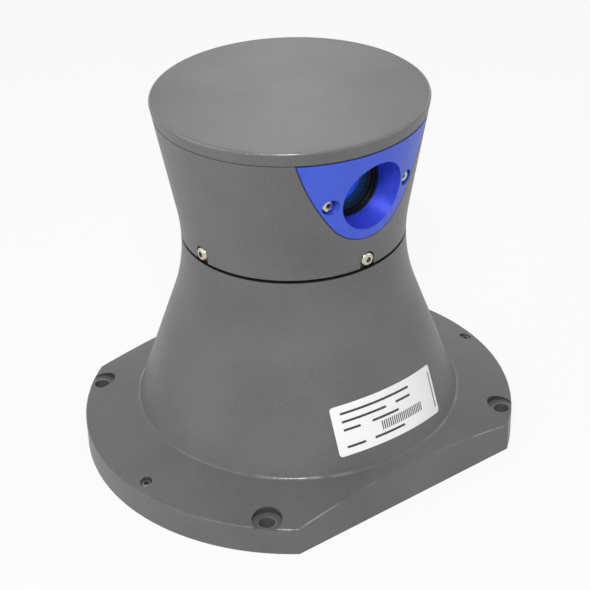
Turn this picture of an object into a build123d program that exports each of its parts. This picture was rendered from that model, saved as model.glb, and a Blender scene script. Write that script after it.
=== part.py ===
from build123d import *
import math
import os

# Laser navigation scanner: a cast base on a round flange carries a spinning head that looks
# through a lens. Millimetres, +Z up, origin at the centre of the flange's underside. The two
# flats of the flange face -Y and +Y. Head pieces are drawn looking along +X and then turned.

# Outer form
flange_diameter = 250.0
flange_across_flats = 200.0
rim_height = 16.5
shoulder_height = 25.6
waist_diameter = 124.8
waist_drop = 1.0
waist_arc_radius = 111.5
base_cone_angle = 20.0
head_cone_angle = 10.0
neck_gap = 2.0
shell_height = 72.0
cap_height = 8.0
head_azimuth = -88.0
wall = 5.0
rim_edge_radius = 1.0
shoulder_fillet = 2.0
cap_edge_radius = 1.5

# Fastening of the flange
mount_hole_edge = 6.0
mount_hole_diameter = 9.0
spot_face_diameter = 16.5
spot_face_floor = 16.0
mount_hole_count = 4
mount_hole_azimuth = 45.0
level_screw_edge = 7.0
level_screw_spread = 82.0
level_screw_size = 6.0
level_screw_length = 16.0
level_mouth_diameter = 6.8
level_mouth_depth = 1.5
foot_clearance = 1.3

# Clearances
thread_clearance = 0.05
fit_clearance = 0.02
screw_hole_clearance = 0.25
cover_clearance = 0.3
ball_clearance = 0.1
nut_clearance = 1.5
collar_clearance = 1.0
coil_clearance = 2.0
air_gap = 0.5
reader_gap = 0.6
splitter_clearance = 1.5
detector_clearance = 0.4
bench_clearance = 9.0
well_clearance = 4.35
well_side_clearance = 2.0
board_clearance = 1.0
board_side_clearance = 3.0
board_edge_clearance = 6.0
carrier_clearance = 5.4
bracket_clearance = 1.4
cheek_clearance = 4.0
weight_clearance = 1.0
lens_clearance = 0.2

# Underside of the base
foot_rim = 10.0
cover_recess_depth = 6.0
cover_ledge = 8.0
cover_sink = 1.0
gasket_thickness = 1.0
cover_screw_count = 6
cover_screw_size = 4.0
cover_screw_length = 10.0
well_length = 60.0
well_width = 28.0
well_corner = 5.0
well_ceiling = 28.0
well_wall = 3.0

# Round connectors in the well
connector_spacing = 30.0
connector_thread = 12.0
connector_reach = 16.0
connector_flange_diameter = 18.0
connector_flange_thickness = 3.0
connector_nut_height = 3.0
connector_nut_flats = 15.0
plug_cup_diameter = 9.8
plug_cup_depth = 9.0
socket_shell_diameter = 15.0
socket_core_diameter = 9.0
socket_core_sink = 1.0
pin_sink = 2.0
pin_diameter = 1.0
pin_circle_diameter = 7.0
pin_count = 4

# Main circuit board
board_thickness = 1.6
standoff_circle_diameter = 126.0
standoff_flats = 7.0
standoff_count = 4
board_screw_size = 3.0
board_screw_length = 7.0
board_thread_depth = 8.0
processor_size = 16.0
processor_height = 1.8
plug_strip_length = 26.0
plug_strip_width = 8.0
plug_strip_height = 7.0
capacitor_diameter = 9.0
capacitor_height = 11.0
driver_length = 10.0
driver_width = 6.0
driver_height = 3.0

# Bearings, shaft and hub
deck_recess = 9.0
deck_thickness = 7.0
carrier_flange_thickness = 4.0
carrier_wall = 7.0
carrier_screw_count = 6
bearing_bore = 40.0
bearing_outside = 62.0
bearing_width = 12.0
bearing_sink = 2.0
bearing_spacing = 26.0
bearing_shoulder = 2.5
groove_depth = 1.4
ball_diameter = 6.4
ball_count = 11
cage_thickness = 2.2
cage_width = 8.6
spring_height = 1.2
spring_sheet = 0.6
shaft_wall = 4.0
shaft_tail = 1.5
collar_height = 4.0
collar_step = 1.0
hub_thickness = 5.0
hub_rim_height = 10.0
hub_rim_width = 8.0
hub_running_gap = 1.0
hub_lip = 2.0
nut_height = 7.0
nut_slot_depth = 2.0
nut_slot_width = 5.0
seal_width = 3.0
seal_gap = 0.3

# Motor and angle encoder
housing_outside = 96.0
housing_wall = 6.0
housing_web = 4.0
housing_screw_count = 4
housing_thread_depth = 8.0
stator_bore = 58.0
stator_height = 15.0
stator_slots = 9
stator_yoke = 4.0
tooth_width = 7.0
shoe_depth = 2.0
slot_opening = 2.0
slot_liner = 0.2
coil_overhang = 3.0
coil_thickness = 2.2
sleeve_overlap = 2.0
magnet_thickness = 4.5
magnet_count = 8
magnet_gap_angle = 5.0
code_disc_diameter = 70.0
code_disc_thickness = 1.0
code_hub_diameter = 50.0
code_hub_height = 5.0
code_slot_count = 24
code_slot_width = 1.6
code_slot_length = 3.5
code_slot_edge = 1.5
reader_width = 14.0
reader_jaw = 3.5
reader_roof = 4.0
reader_depth = 6.0

# Fixed laser optics under the shaft
bench_floor = 4.0
bench_ring_height = 2.0
bench_ring_width = 7.0
bench_leg_width = 14.0
splitter_size = 12.0
splitter_proud = 3.0
optics_block_wall = 3.0
laser_diameter = 12.0
laser_length = 22.0
laser_grip = 18.0
laser_front_step = 1.0
laser_front_length = 3.0
detector_diameter = 9.0
detector_height = 3.0
receiver_board_size = 30.0

# Head shell, cap and their screws
neck_screw_rise = 4.1
neck_screw_size = 4.0
neck_head_diameter = 8.0
neck_head_height = 2.4
neck_screw_length = 9.0
neck_screw_count = 4
neck_pocket_width = 9.4
neck_pocket_depth = 1.2
shell_ledge = 2.0
shell_ledge_height = 3.0
cap_gasket_thickness = 0.3
cap_plate = 5.0
cap_spigot_width = 4.0
cap_screw_inset = 1.4
cap_screw_count = 4
cap_screw_depth = 7.0
lug_diameter = 12.0
lug_height = 10.0
lug_sink = 4.0
cap_screw_size = 4.0
seam_chamfer = 0.2

# Optics insert in the head, its sinks taken from the radius of the waist
insert_gap = 0.6
insert_top_gap = 0.5
insert_arc_radius = 29.0
insert_arc_drop = 24.0
insert_arc_turn = 54.0
insert_top_width = 87.0
insert_skin = 4.0
aperture_drop = 28.0
bore_flare = 1.7
lens_bore_diameter = 36.0
lens_bore_sink = 11.4
lens_bore_length = 11.0
barrel_wall = 2.5
barrel_back_wall = 3.0
lens_thickness = 6.0
lens_curve = 62.0
seal_thickness = 1.0
lens_ring_back_wall = 2.3
lens_ring_front_wall = 0.8
key_slot_width = 2.0
key_slot_depth = 1.6
insert_screw_gap = 1.3
insert_screw_drop = 27.5
insert_screw_length = 16.0
insert_head_diameter = 7.0
insert_head_height = 4.0
insert_pocket_diameter = 9.0
insert_pocket_sink = 4.7
insert_boss_diameter = 13.0
insert_boss_length = 7.7

# Mirror and its bracket, balance weight
bracket_base_opening = 64.0
bracket_base_height = 5.0
cheek_thickness = 9.0
cheek_nose = 24.0
cheek_back_inset = 4.0
mirror_width = 32.0
mirror_thickness = 4.0
mirror_seat_thickness = 6.0
mirror_seat_length = 50.0
bracket_screw_clearance = 1.0
weight_width = 11.0
weight_height = 12.0
weight_span = 70.0
weight_screw_angle = 20.0

# Common hardware
machine_screw_size = 4.0
button_head_diameter = 7.6
button_head_height = 2.2
small_head_diameter = 5.5
small_head_height = 1.6

# Flange and underside, from the sizes above
flange_radius = flange_diameter / 2
waist_radius = waist_diameter / 2
mount_circle_diameter = flange_diameter - 2 * mount_hole_edge
level_screw_radius = flange_radius - level_screw_edge
cover_recess_diameter = flange_across_flats - 2 * foot_rim
cavity_diameter = cover_recess_diameter - 2 * cover_ledge
cover_bottom = cover_sink
cover_top = cover_recess_depth - gasket_thickness
well_top = well_ceiling + well_wall
connector_mouth = well_ceiling - connector_reach
board_height = well_top + connector_nut_height + board_clearance
board_top = board_height + board_thickness

# Heights of the inner works, stacked from the cover up to the seam
bench_bottom = cover_top + bench_clearance
bench_top = bench_bottom + bench_floor
splitter_bottom = bench_top + board_thickness + detector_height + detector_clearance
splitter_top = splitter_bottom + splitter_size
shaft_bottom = splitter_top + splitter_clearance
code_disc_bottom = shaft_bottom + shaft_tail
reader_bottom = code_disc_bottom - reader_jaw
housing_bottom = code_disc_bottom + reader_roof
stator_bottom = housing_bottom + coil_clearance + coil_overhang
stator_top = stator_bottom + stator_height
sleeve_bottom = stator_bottom - sleeve_overlap
sleeve_top = stator_top + sleeve_overlap
housing_web_bottom = stator_top + coil_overhang + coil_clearance
carrier_bottom = housing_web_bottom + housing_web
lower_bottom = carrier_bottom + bearing_sink
lower_top = lower_bottom + bearing_width
upper_bottom = lower_top + bearing_spacing
upper_top = upper_bottom + bearing_width
carrier_top = upper_top + bearing_sink
deck_top = carrier_top - carrier_flange_thickness
deck_bottom = deck_top - deck_thickness
seam_height = deck_top + deck_recess
waist_height = seam_height - waist_drop

# Heights of the head
head_bottom = seam_height + neck_gap
cap_seam_height = head_bottom + shell_height
total_height = cap_seam_height + cap_height
hub_bottom = upper_top + collar_step + collar_height
hub_top = hub_bottom + hub_thickness
rim_top = hub_top + hub_rim_height
bracket_top = hub_top + bracket_base_height
neck_screw_height = head_bottom + neck_screw_rise
insert_top = cap_seam_height - insert_top_gap
insert_arc_height = cap_seam_height - insert_arc_drop
aperture_height = cap_seam_height - aperture_drop
insert_screw_height = cap_seam_height - insert_screw_drop
cap_bottom = cap_seam_height + cap_gasket_thickness

# Widths of the inner works
pitch_radius = (bearing_bore + bearing_outside) / 4
race_inner = pitch_radius - ball_diameter / 2 + groove_depth
race_outer = pitch_radius + ball_diameter / 2 - groove_depth
carrier_tube_diameter = bearing_outside + 2 * carrier_wall
carrier_flange_diameter = 2 * (waist_radius - wall - carrier_clearance)
carrier_screw_circle = (carrier_tube_diameter + carrier_flange_diameter) / 2
shaft_bore = bearing_bore - 2 * shaft_wall
collar_diameter = bearing_outside - 2 * collar_clearance
hub_screw_circle = (bearing_bore + collar_diameter) / 2
housing_bore = bearing_outside - 2 * bearing_shoulder
housing_screw_circle = (bearing_outside + carrier_tube_diameter) / 2
nut_diameter = housing_bore - 2 * nut_clearance
stator_outside = housing_outside - 2 * housing_wall
bench_screw_circle = housing_outside - housing_wall
sleeve_outside = stator_bore - 2 * (air_gap + magnet_thickness)
magnet_outside = sleeve_outside / 2 + magnet_thickness
board_inner_diameter = housing_outside + 2 * board_side_clearance
optics_block_width = splitter_size + 2 * optics_block_wall

# Depths of the optics, measured from the scanner axis
aperture_diameter = lens_bore_diameter + 2 * bore_flare
lens_bore_mouth = waist_radius - lens_bore_sink
lens_seat = lens_bore_mouth - lens_bore_length
barrel_back = lens_seat - barrel_back_wall
barrel_radius = lens_bore_diameter / 2 + barrel_wall
barrel_opening = lens_bore_diameter - 2 * barrel_wall
lens_diameter = lens_bore_diameter - 2 * lens_clearance
lens_ring_opening = lens_bore_diameter - 2 * lens_ring_back_wall
lens_ring_mouth = lens_bore_diameter - 2 * lens_ring_front_wall
insert_screw_spacing = aperture_diameter + insert_pocket_diameter + 2 * insert_screw_gap
insert_pocket_floor = waist_radius - insert_pocket_sink
bracket_front = insert_pocket_floor - insert_boss_length
cheek_gap = insert_screw_spacing - cheek_thickness
neck_pocket_floor = waist_radius - neck_pocket_depth
cap_screw_circle = 2 * (waist_radius - cap_screw_inset)


def waist_point(angle, inset=0.0):
    """A point of the waist arc, angle degrees above the waist, on the skin or inset from it."""
    reach = waist_arc_radius + inset
    turn = math.radians(angle)
    return (
        waist_radius + waist_arc_radius - reach * math.cos(turn),
        waist_height + reach * math.sin(turn),
    )


def waist_angle(height, inset=0.0):
    """The angle at which the waist arc reaches a height."""
    return math.degrees(math.asin((height - waist_height) / (waist_arc_radius + inset)))


def base_cone_radius(height, inset=0.0):
    """Radius of the base cone at a height."""
    radius, level = waist_point(-base_cone_angle, inset)
    return radius + (level - height) * math.tan(math.radians(base_cone_angle))


def head_cone_radius(height, inset=0.0):
    """Radius of the head cone at a height."""
    radius, level = waist_point(head_cone_angle, inset)
    return radius + (height - level) * math.tan(math.radians(head_cone_angle))


def inside_radius(height):
    """Free radius inside the base casting, between its cover and its deck."""
    return min(cavity_diameter / 2, base_cone_radius(height, wall))


# The well and the board reach out to the casting, and the bracket stands inside the hub's rim.
well_edge = well_corner + well_wall
well_reach = inside_radius(well_top) - well_clearance - well_edge
well_outside = math.sqrt(well_reach ** 2 - (well_length / 2 - well_corner) ** 2) + well_edge
well_offset = well_outside - well_wall - well_width / 2
bench_cut = well_offset - well_width / 2 - well_wall - well_side_clearance
board_outer_diameter = 2 * (inside_radius(board_top) - board_edge_clearance)
hub_rim_outer = waist_point(waist_angle(head_bottom))[0] - wall - fit_clearance
hub_rim_inner = hub_rim_outer - hub_rim_width
bracket_base_radius = hub_rim_inner - bracket_clearance
bracket_screw_circle = bracket_base_radius + bracket_base_opening / 2
bracket_screw_side = cheek_gap / 2 + cheek_thickness + button_head_diameter / 2 + bracket_screw_clearance
bracket_screw_angle = math.degrees(math.asin(bracket_screw_side / (bracket_screw_circle / 2)))
cheek_foot = math.sqrt((hub_rim_inner - cheek_clearance) ** 2 - (cheek_gap / 2 + cheek_thickness) ** 2)
weight_outside = 2 * (bracket_base_radius - weight_clearance)
weight_inside = weight_outside - 2 * weight_width


def turned(*points):
    """A turned solid from its section, given as (radius, height) points."""
    return revolve(Plane.XZ * Polygon(*points, align=None), Axis.Z)


def turned_edges(*edges):
    """A turned solid from a section whose outline has arcs."""
    return revolve(Plane.XZ * make_face(edges), Axis.Z)


def washer(inner, outer, bottom, top):
    """A plain ring between two radii and two heights."""
    return turned((inner, bottom), (outer, bottom), (outer, top), (inner, top))


def rod(diameter, bottom, top):
    """An upright cylinder at the origin."""
    standing = (Align.CENTER, Align.CENTER, Align.MIN)
    return Pos(0, 0, bottom) * Cylinder(diameter / 2, top - bottom, align=standing)


def around(piece, count, start=0.0):
    """Copies of a piece spread evenly about the scanner axis."""
    return [Rot(0, 0, start + 360 * step / count) * piece for step in range(count)]


def joined(pieces):
    """Separate solids gathered into one node."""
    return Part() + pieces


def facing(piece):
    """A head piece turned from its drawing direction to where the head looks at rest."""
    return Rot(0, 0, head_azimuth) * piece


def screw(size, length, head_diameter, head_height, domed=True):
    """A socket screw along Z: its head stands on the plane z = 0 and its shank hangs below."""
    shank = rod(size - 2 * thread_clearance, -length, 0)
    radius = head_diameter / 2
    if domed:
        crown = radius * 0.45
        side = head_height * 0.35
        head = turned_edges(
            Line((0, 0), (radius, 0)),
            Line((radius, 0), (radius, side)),
            ThreePointArc((radius, side), (radius * 0.82, head_height * 0.8), (crown, head_height)),
            Line((crown, head_height), (0, head_height)),
            Line((0, head_height), (0, 0)),
        )
    else:
        edge = head_height * 0.12
        head = turned(
            (0, 0), (radius, 0), (radius, head_height - edge), (radius - edge, head_height), (0, head_height)
        )
    socket_depth = head_height * 0.55
    socket = Pos(0, 0, head_height - socket_depth) * extrude(
        RegularPolygon(head_diameter * 0.19, 6, major_radius=False), amount=head_height
    )
    return head + shank - socket


def button_screw(length):
    """A button-head screw of the common machine size."""
    return screw(machine_screw_size, length, button_head_diameter, button_head_height)


def small_screw(length):
    """A flat-topped screw of the board size."""
    return screw(board_screw_size, length, small_head_diameter, small_head_height, domed=False)


def tapped(size, bottom, top):
    """The core of a threaded hole, at the thread's nominal size."""
    return rod(size, bottom, top)


def clear_hole(size, bottom, top):
    """A hole that a screw of this size passes through."""
    return rod(size + 2 * screw_hole_clearance, bottom, top)


# The base is one casting: flange, hollow cone and the deck that carries the bearings.
def base_housing():
    shoulder = (base_cone_radius(shoulder_height), shoulder_height)
    cone_end = waist_point(-base_cone_angle)
    rim_angle = waist_angle(seam_height)
    rim_outer = waist_point(rim_angle)
    rim_inner = rim_outer[0] - wall
    inner_cone_end = waist_point(-base_cone_angle, wall)
    under_deck_angle = waist_angle(deck_bottom, wall)
    under_deck = waist_point(under_deck_angle, wall)
    cavity_radius = cavity_diameter / 2
    cavity_slope = math.tan(math.radians(base_cone_angle))
    cavity_bend = inner_cone_end[1] - (cavity_radius - inner_cone_end[0]) / cavity_slope
    recess_radius = cover_recess_diameter / 2
    bore_radius = carrier_tube_diameter / 2 + fit_clearance
    section = make_face([
        Line((recess_radius, 0), (flange_radius, 0)),
        Line((flange_radius, 0), (flange_radius, rim_height)),
        Line((flange_radius, rim_height), shoulder),
        Line(shoulder, cone_end),
        ThreePointArc(cone_end, waist_point((rim_angle - base_cone_angle) / 2), rim_outer),
        Line(rim_outer, (rim_inner, seam_height)),
        Line((rim_inner, seam_height), (rim_inner, deck_top)),
        Line((rim_inner, deck_top), (bore_radius, deck_top)),
        Line((bore_radius, deck_top), (bore_radius, deck_bottom)),
        Line((bore_radius, deck_bottom), under_deck),
        ThreePointArc(under_deck, waist_point((under_deck_angle - base_cone_angle) / 2, wall), inner_cone_end),
        Line(inner_cone_end, (cavity_radius, cavity_bend)),
        Line((cavity_radius, cavity_bend), (cavity_radius, cover_recess_depth)),
        Line((cavity_radius, cover_recess_depth), (recess_radius, cover_recess_depth)),
        Line((recess_radius, cover_recess_depth), (recess_radius, 0)),
    ])
    crease = section.vertices().sort_by_distance((shoulder[0], shoulder[1], 0))[0]
    section = fillet(crease, shoulder_fillet)
    body = revolve(Plane.XZ * section, Axis.Z)
    half_flats = flange_across_flats / 2
    slab = Box(
        2 * flange_diameter, flange_radius, 4 * shoulder_height, align=(Align.CENTER, Align.MIN, Align.CENTER)
    )
    body -= Pos(0, half_flats, 0) * slab
    body -= Rot(0, 0, 180) * Pos(0, half_flats, 0) * slab
    upper_edges = [
        edge for edge in body.edges()
        if abs((edge @ 0).Z - rim_height) < 0.01
        and abs((edge @ 1).Z - rim_height) < 0.01
        and math.hypot((edge @ 0.5).X, (edge @ 0.5).Y) > half_flats - 1
    ]
    body = fillet(upper_edges, rim_edge_radius)
    spot_face = rod(spot_face_diameter, spot_face_floor, 2 * shoulder_height)
    through = rod(mount_hole_diameter, -1, spot_face_floor + 1)
    mount_hole = Pos(mount_circle_diameter / 2, 0, 0) * (through + spot_face)
    for hole in around(mount_hole, mount_hole_count, mount_hole_azimuth):
        body -= hole
    for azimuth in level_azimuths():
        body -= Rot(0, 0, azimuth) * Pos(level_screw_radius, 0, 0) * level_hole()
    cover_hole = Pos(cover_screw_circle() / 2, 0, 0) * tapped(
        cover_screw_size, cover_recess_depth - 1, cover_sink + cover_screw_length + 2
    )
    for hole in around(cover_hole, cover_screw_count, 180 / cover_screw_count):
        body -= hole
    deck_thread = tapped(machine_screw_size, deck_bottom - 1, deck_top + 1)
    deck_hole = Pos(carrier_screw_circle / 2, 0, 0) * deck_thread
    for hole in around(deck_hole, carrier_screw_count):
        body -= hole
    return body


def level_azimuths():
    """Where the two levelling screws stand, either side of the near flat."""
    return (-90 - level_screw_spread, -90 + level_screw_spread)


def flange_top(radius):
    """Height of the sloping flange top at a radius."""
    shoulder_radius = base_cone_radius(shoulder_height)
    slope = (shoulder_height - rim_height) / (flange_radius - shoulder_radius)
    return rim_height + (flange_radius - radius) * slope


def level_hole():
    """A threaded hole through the flange with a wider mouth."""
    mouth_floor = flange_top(level_screw_radius) - level_mouth_depth
    mouth = rod(level_mouth_diameter, mouth_floor, 2 * shoulder_height)
    return mouth + tapped(level_screw_size, -1, mouth_floor + 1)


def cover_screw_circle():
    """The cover screws stand midway across the ledge that they thread into."""
    return (cover_recess_diameter + cavity_diameter) / 2


def levelling_screws():
    """Two socket set screws in the flange, wound up clear of the mounting surface."""
    core = level_screw_size - 2 * thread_clearance
    body = rod(core, foot_clearance, foot_clearance + level_screw_length)
    top = foot_clearance + level_screw_length
    body = chamfer(body.edges().group_by(Axis.Z)[-1], level_screw_size * 0.1)
    socket = RegularPolygon(level_screw_size * 0.25, 6, major_radius=False)
    body -= Pos(0, 0, top) * extrude(socket, amount=-level_screw_size / 2)
    return joined([Rot(0, 0, azimuth) * Pos(level_screw_radius, 0, 0) * body for azimuth in level_azimuths()])


# The underside is closed by a cast cover with a well that the connectors stand in.
def well_box(grow, bottom, top):
    """The rounded block of the well, grown sideways by a wall."""
    shape = RectangleRounded(well_length + 2 * grow, well_width + 2 * grow, well_corner + grow)
    return Pos(0, well_offset, bottom) * extrude(shape, amount=top - bottom)


def connector_places():
    """The power connector on the left and the data connector on the right of the well."""
    return (Pos(-connector_spacing / 2, well_offset, 0), Pos(connector_spacing / 2, well_offset, 0))


def bottom_cover():
    plate = rod(cover_recess_diameter - 2 * cover_clearance, cover_bottom, cover_top)
    cover = plate + well_box(well_wall, cover_bottom, well_top) - well_box(0, cover_bottom - 1, well_ceiling)
    sink_depth = (button_head_diameter - cover_screw_size) / 2
    sink = turned(
        (0, cover_bottom - 1), (button_head_diameter / 2 + 1, cover_bottom - 1),
        (cover_screw_size / 2, cover_bottom + sink_depth), (0, cover_bottom + sink_depth),
    )
    shank_hole = clear_hole(cover_screw_size, cover_bottom - 1, cover_top + 1)
    hole = Pos(cover_screw_circle() / 2, 0, 0) * (shank_hole + sink)
    for place in around(hole, cover_screw_count, 180 / cover_screw_count):
        cover -= place
    for place in connector_places():
        cover -= place * rod(connector_thread + 2 * fit_clearance, well_ceiling - 1, well_top + 1)
    stud = Pos(standoff_circle_diameter / 2, 0, 0) * tapped(board_screw_size, cover_bottom + 1, cover_top + 1)
    for place in around(stud, standoff_count, 180 / standoff_count):
        cover -= place
    return cover


def cover_gasket():
    """Flat rubber ring between the cover and the ledge."""
    inner = cavity_diameter / 2 + cover_clearance
    outer = cover_recess_diameter / 2 - cover_clearance
    ring = washer(inner, outer, cover_top, cover_recess_depth)
    hole = Pos(cover_screw_circle() / 2, 0, 0) * clear_hole(cover_screw_size, 0, cover_recess_depth + 1)
    for place in around(hole, cover_screw_count, 180 / cover_screw_count):
        ring -= place
    return ring


def cover_screws():
    """Countersunk socket screws, flush with the cover's underside."""
    core = cover_screw_size / 2 - thread_clearance
    head = button_head_diameter / 2 - thread_clearance
    body = turned(
        (0, cover_bottom), (head, cover_bottom), (core, cover_bottom + head - core),
        (core, cover_bottom + cover_screw_length), (0, cover_bottom + cover_screw_length),
    )
    socket = RegularPolygon(cover_screw_size * 0.31, 6, major_radius=False)
    body -= Pos(0, 0, cover_bottom) * extrude(socket, amount=cover_screw_size * 0.4)
    placed = Pos(cover_screw_circle() / 2, 0, 0) * body
    return joined(around(placed, cover_screw_count, 180 / cover_screw_count))


def power_connector():
    """Pin-side receptacle: an outside thread below a flange, an open cup round the pins."""
    outer = connector_thread / 2
    cup = plug_cup_diameter / 2
    shell = turned(
        (cup, connector_mouth), (outer, connector_mouth),
        (outer, well_ceiling - connector_flange_thickness),
        (connector_flange_diameter / 2, well_ceiling - connector_flange_thickness),
        (connector_flange_diameter / 2, well_ceiling), (outer, well_ceiling),
        (outer, well_top + connector_nut_height), (cup, well_top + connector_nut_height),
    )
    return connector_places()[0] * shell


def data_connector():
    """Socket-side receptacle: an inside thread round a core with contact holes."""
    outer = socket_shell_diameter / 2
    inner = connector_thread / 2
    core = socket_core_diameter / 2
    base = connector_mouth + plug_cup_depth
    shell = turned(
        (inner, connector_mouth), (outer, connector_mouth),
        (outer, well_ceiling - connector_flange_thickness),
        (connector_flange_diameter / 2, well_ceiling - connector_flange_thickness),
        (connector_flange_diameter / 2, well_ceiling), (inner, well_ceiling),
        (inner, well_top + connector_nut_height), (core, well_top + connector_nut_height),
        (core, base), (inner, base),
    )
    return connector_places()[1] * shell


def pin_places():
    return [Rot(0, 0, 360 * step / pin_count) * Pos(pin_circle_diameter / 2, 0, 0) for step in range(pin_count)]


def connector_inserts():
    """Moulded cores that hold the contacts, one in each receptacle."""
    plug_core = rod(plug_cup_diameter, connector_mouth + plug_cup_depth, well_top + connector_nut_height)
    socket_core = rod(socket_core_diameter, connector_mouth + socket_core_sink, well_top + connector_nut_height)
    for place in pin_places():
        plug_core -= place * rod(pin_diameter, 0, board_height)
        socket_core -= place * rod(pin_diameter, 0, connector_mouth + plug_cup_depth)
        socket_core -= place * rod(pin_diameter, connector_mouth, board_height)
    left, right = connector_places()
    return joined([left * plug_core, right * socket_core])


def connector_pins():
    """Contacts that run from the plug face to the board above."""
    left, right = connector_places()
    pin = rod(pin_diameter, connector_mouth + pin_sink, board_height)
    tail = rod(pin_diameter, connector_mouth + plug_cup_depth, board_height)
    pins = [left * place * pin for place in pin_places()]
    return joined(pins + [right * place * tail for place in pin_places()])


def connector_nuts():
    """Thin hexagon nuts that clamp the receptacles to the well's ceiling."""
    outline = RegularPolygon(connector_nut_flats / 2, 6, major_radius=False)
    hexagon = extrude(outline, amount=connector_nut_height)
    nut = Pos(0, 0, well_top) * hexagon - rod(connector_thread + 2 * thread_clearance, 0, 2 * well_top)
    return joined([place * nut for place in connector_places()])


# The main board is a ring that leaves room for the motor and the optics bench.
def main_board():
    board = washer(board_inner_diameter / 2, board_outer_diameter / 2, board_height, board_top)
    hole = Pos(standoff_circle_diameter / 2, 0, 0) * clear_hole(board_screw_size, 0, 2 * board_height)
    for place in around(hole, standoff_count, 180 / standoff_count):
        board -= place
    return board


def board_components():
    """Processor, power parts and plug strips on the board."""
    middle = (board_inner_diameter + board_outer_diameter) / 4
    standing = (Align.CENTER, Align.CENTER, Align.MIN)
    place = Pos(middle, 0, board_top)
    processor = place * Box(processor_size, processor_size, processor_height, align=standing)
    strip = place * Box(plug_strip_width, plug_strip_length, plug_strip_height, align=standing)
    driver = place * Box(driver_length, driver_width, driver_height, align=standing)
    capacitor = Pos(middle, 0, 0) * rod(capacitor_diameter, board_top, board_top + capacitor_height)
    placed = [Rot(0, 0, -90) * processor, Rot(0, 0, 90) * strip, strip]
    placed += [Rot(0, 0, azimuth) * capacitor for azimuth in (150, 168, 186)]
    placed += [Rot(0, 0, azimuth) * driver for azimuth in (-120, -60, 25, -25)]
    return joined(placed)


def board_standoffs():
    """Hexagon pillars from the cover to the board."""
    hexagon = RegularPolygon(standoff_flats / 2, 6, major_radius=False)
    pillar = Pos(0, 0, cover_top) * extrude(hexagon, amount=board_height - cover_top)
    pillar += rod(board_screw_size - 2 * thread_clearance, cover_bottom + 1, cover_top)
    pillar -= tapped(board_screw_size, board_height - board_thread_depth, board_height + 1)
    placed = Pos(standoff_circle_diameter / 2, 0, 0) * pillar
    return joined(around(placed, standoff_count, 180 / standoff_count))


def board_screws():
    piece = Pos(standoff_circle_diameter / 2, 0, board_top) * small_screw(board_screw_length)
    return joined(around(piece, standoff_count, 180 / standoff_count))


# A flanged sleeve hangs in the deck and holds both ball bearings.
def bearing_carrier():
    outer = carrier_tube_diameter / 2
    seat = bearing_outside / 2
    land = seat - bearing_shoulder
    sleeve = turned(
        (seat, carrier_bottom), (outer, carrier_bottom), (outer, deck_top),
        (carrier_flange_diameter / 2, deck_top), (carrier_flange_diameter / 2, carrier_top),
        (seat, carrier_top), (seat, upper_bottom), (land, upper_bottom),
        (land, lower_top + spring_height), (seat, lower_top + spring_height),
    )
    flange_hole = clear_hole(machine_screw_size, deck_top - 1, carrier_top + 1)
    hole = Pos(carrier_screw_circle / 2, 0, 0) * flange_hole
    for place in around(hole, carrier_screw_count):
        sleeve -= place
    foot_thread = tapped(board_screw_size, carrier_bottom - 1, carrier_bottom + housing_thread_depth + 1)
    foot = Pos(housing_screw_circle / 2, 0, 0) * foot_thread
    for place in around(foot, housing_screw_count):
        sleeve -= place
    return sleeve


def carrier_screws():
    length = carrier_flange_thickness + deck_thickness - 1
    piece = Pos(carrier_screw_circle / 2, 0, carrier_top) * button_screw(length)
    return joined(around(piece, carrier_screw_count))


def race_ring(land, back, bottom):
    """One bearing ring: a land with a ball groove, and the back that it is fitted by."""
    ring = washer(min(land, back), max(land, back), bottom, bottom + bearing_width)
    groove = ball_diameter / 2 + ball_clearance
    return ring - Pos(0, 0, bottom + bearing_width / 2) * Torus(pitch_radius, groove)


def outer_ring(bottom):
    return race_ring(race_outer, bearing_outside / 2 - fit_clearance, bottom)


def inner_ring(bottom):
    return race_ring(race_inner, bearing_bore / 2 + fit_clearance, bottom)


def ball_set(bottom):
    """The balls of one bearing and the ribbon cage that spaces them."""
    middle = Pos(0, 0, bottom + bearing_width / 2)
    half = cage_thickness / 2
    cage = washer(pitch_radius - half, pitch_radius + half, -cage_width / 2, cage_width / 2)
    window = Cylinder(ball_diameter / 2 + ball_clearance, 3 * cage_thickness)
    pocket = Pos(pitch_radius, 0, 0) * Rot(0, 90, 0) * window
    for place in around(pocket, ball_count):
        cage -= place
    balls = around(Pos(pitch_radius, 0, 0) * Sphere(ball_diameter / 2), ball_count)
    return joined([middle * piece for piece in balls + [cage]])


def preload_spring():
    """A disc spring between the land of the carrier and the lower bearing."""
    inner = race_outer + 0.5
    outer = bearing_outside / 2 - 0.2
    low = lower_top
    return turned(
        (outer, low), (outer, low + spring_sheet),
        (inner, low + spring_height), (inner, low + spring_height - spring_sheet),
    )


# The shaft is a tube, so that the light runs down its middle.
def hollow_shaft():
    outer = bearing_bore / 2
    inner = shaft_bore / 2
    step = upper_top + collar_step
    shaft = turned(
        (inner, shaft_bottom), (outer, shaft_bottom), (outer, upper_top), (race_inner, upper_top),
        (race_inner, step), (collar_diameter / 2, step), (collar_diameter / 2, hub_bottom),
        (outer, hub_bottom), (outer, hub_top), (inner, hub_top),
    )
    hole = Pos(hub_screw_circle / 2, 0, 0) * tapped(machine_screw_size, step - 1, hub_bottom + 1)
    for place in around(hole, 4, 45):
        shaft -= place
    return facing(shaft)


def bearing_nut():
    """Slotted ring nut that draws the inner rings together."""
    bottom = lower_bottom - nut_height
    nut = washer(bearing_bore / 2 + thread_clearance, nut_diameter / 2, bottom, lower_bottom)
    slot = Pos(nut_diameter / 2, 0, bottom) * Box(2 * nut_slot_depth, nut_slot_width, nut_height)
    for place in around(slot, 4):
        nut -= place
    return nut


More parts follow.
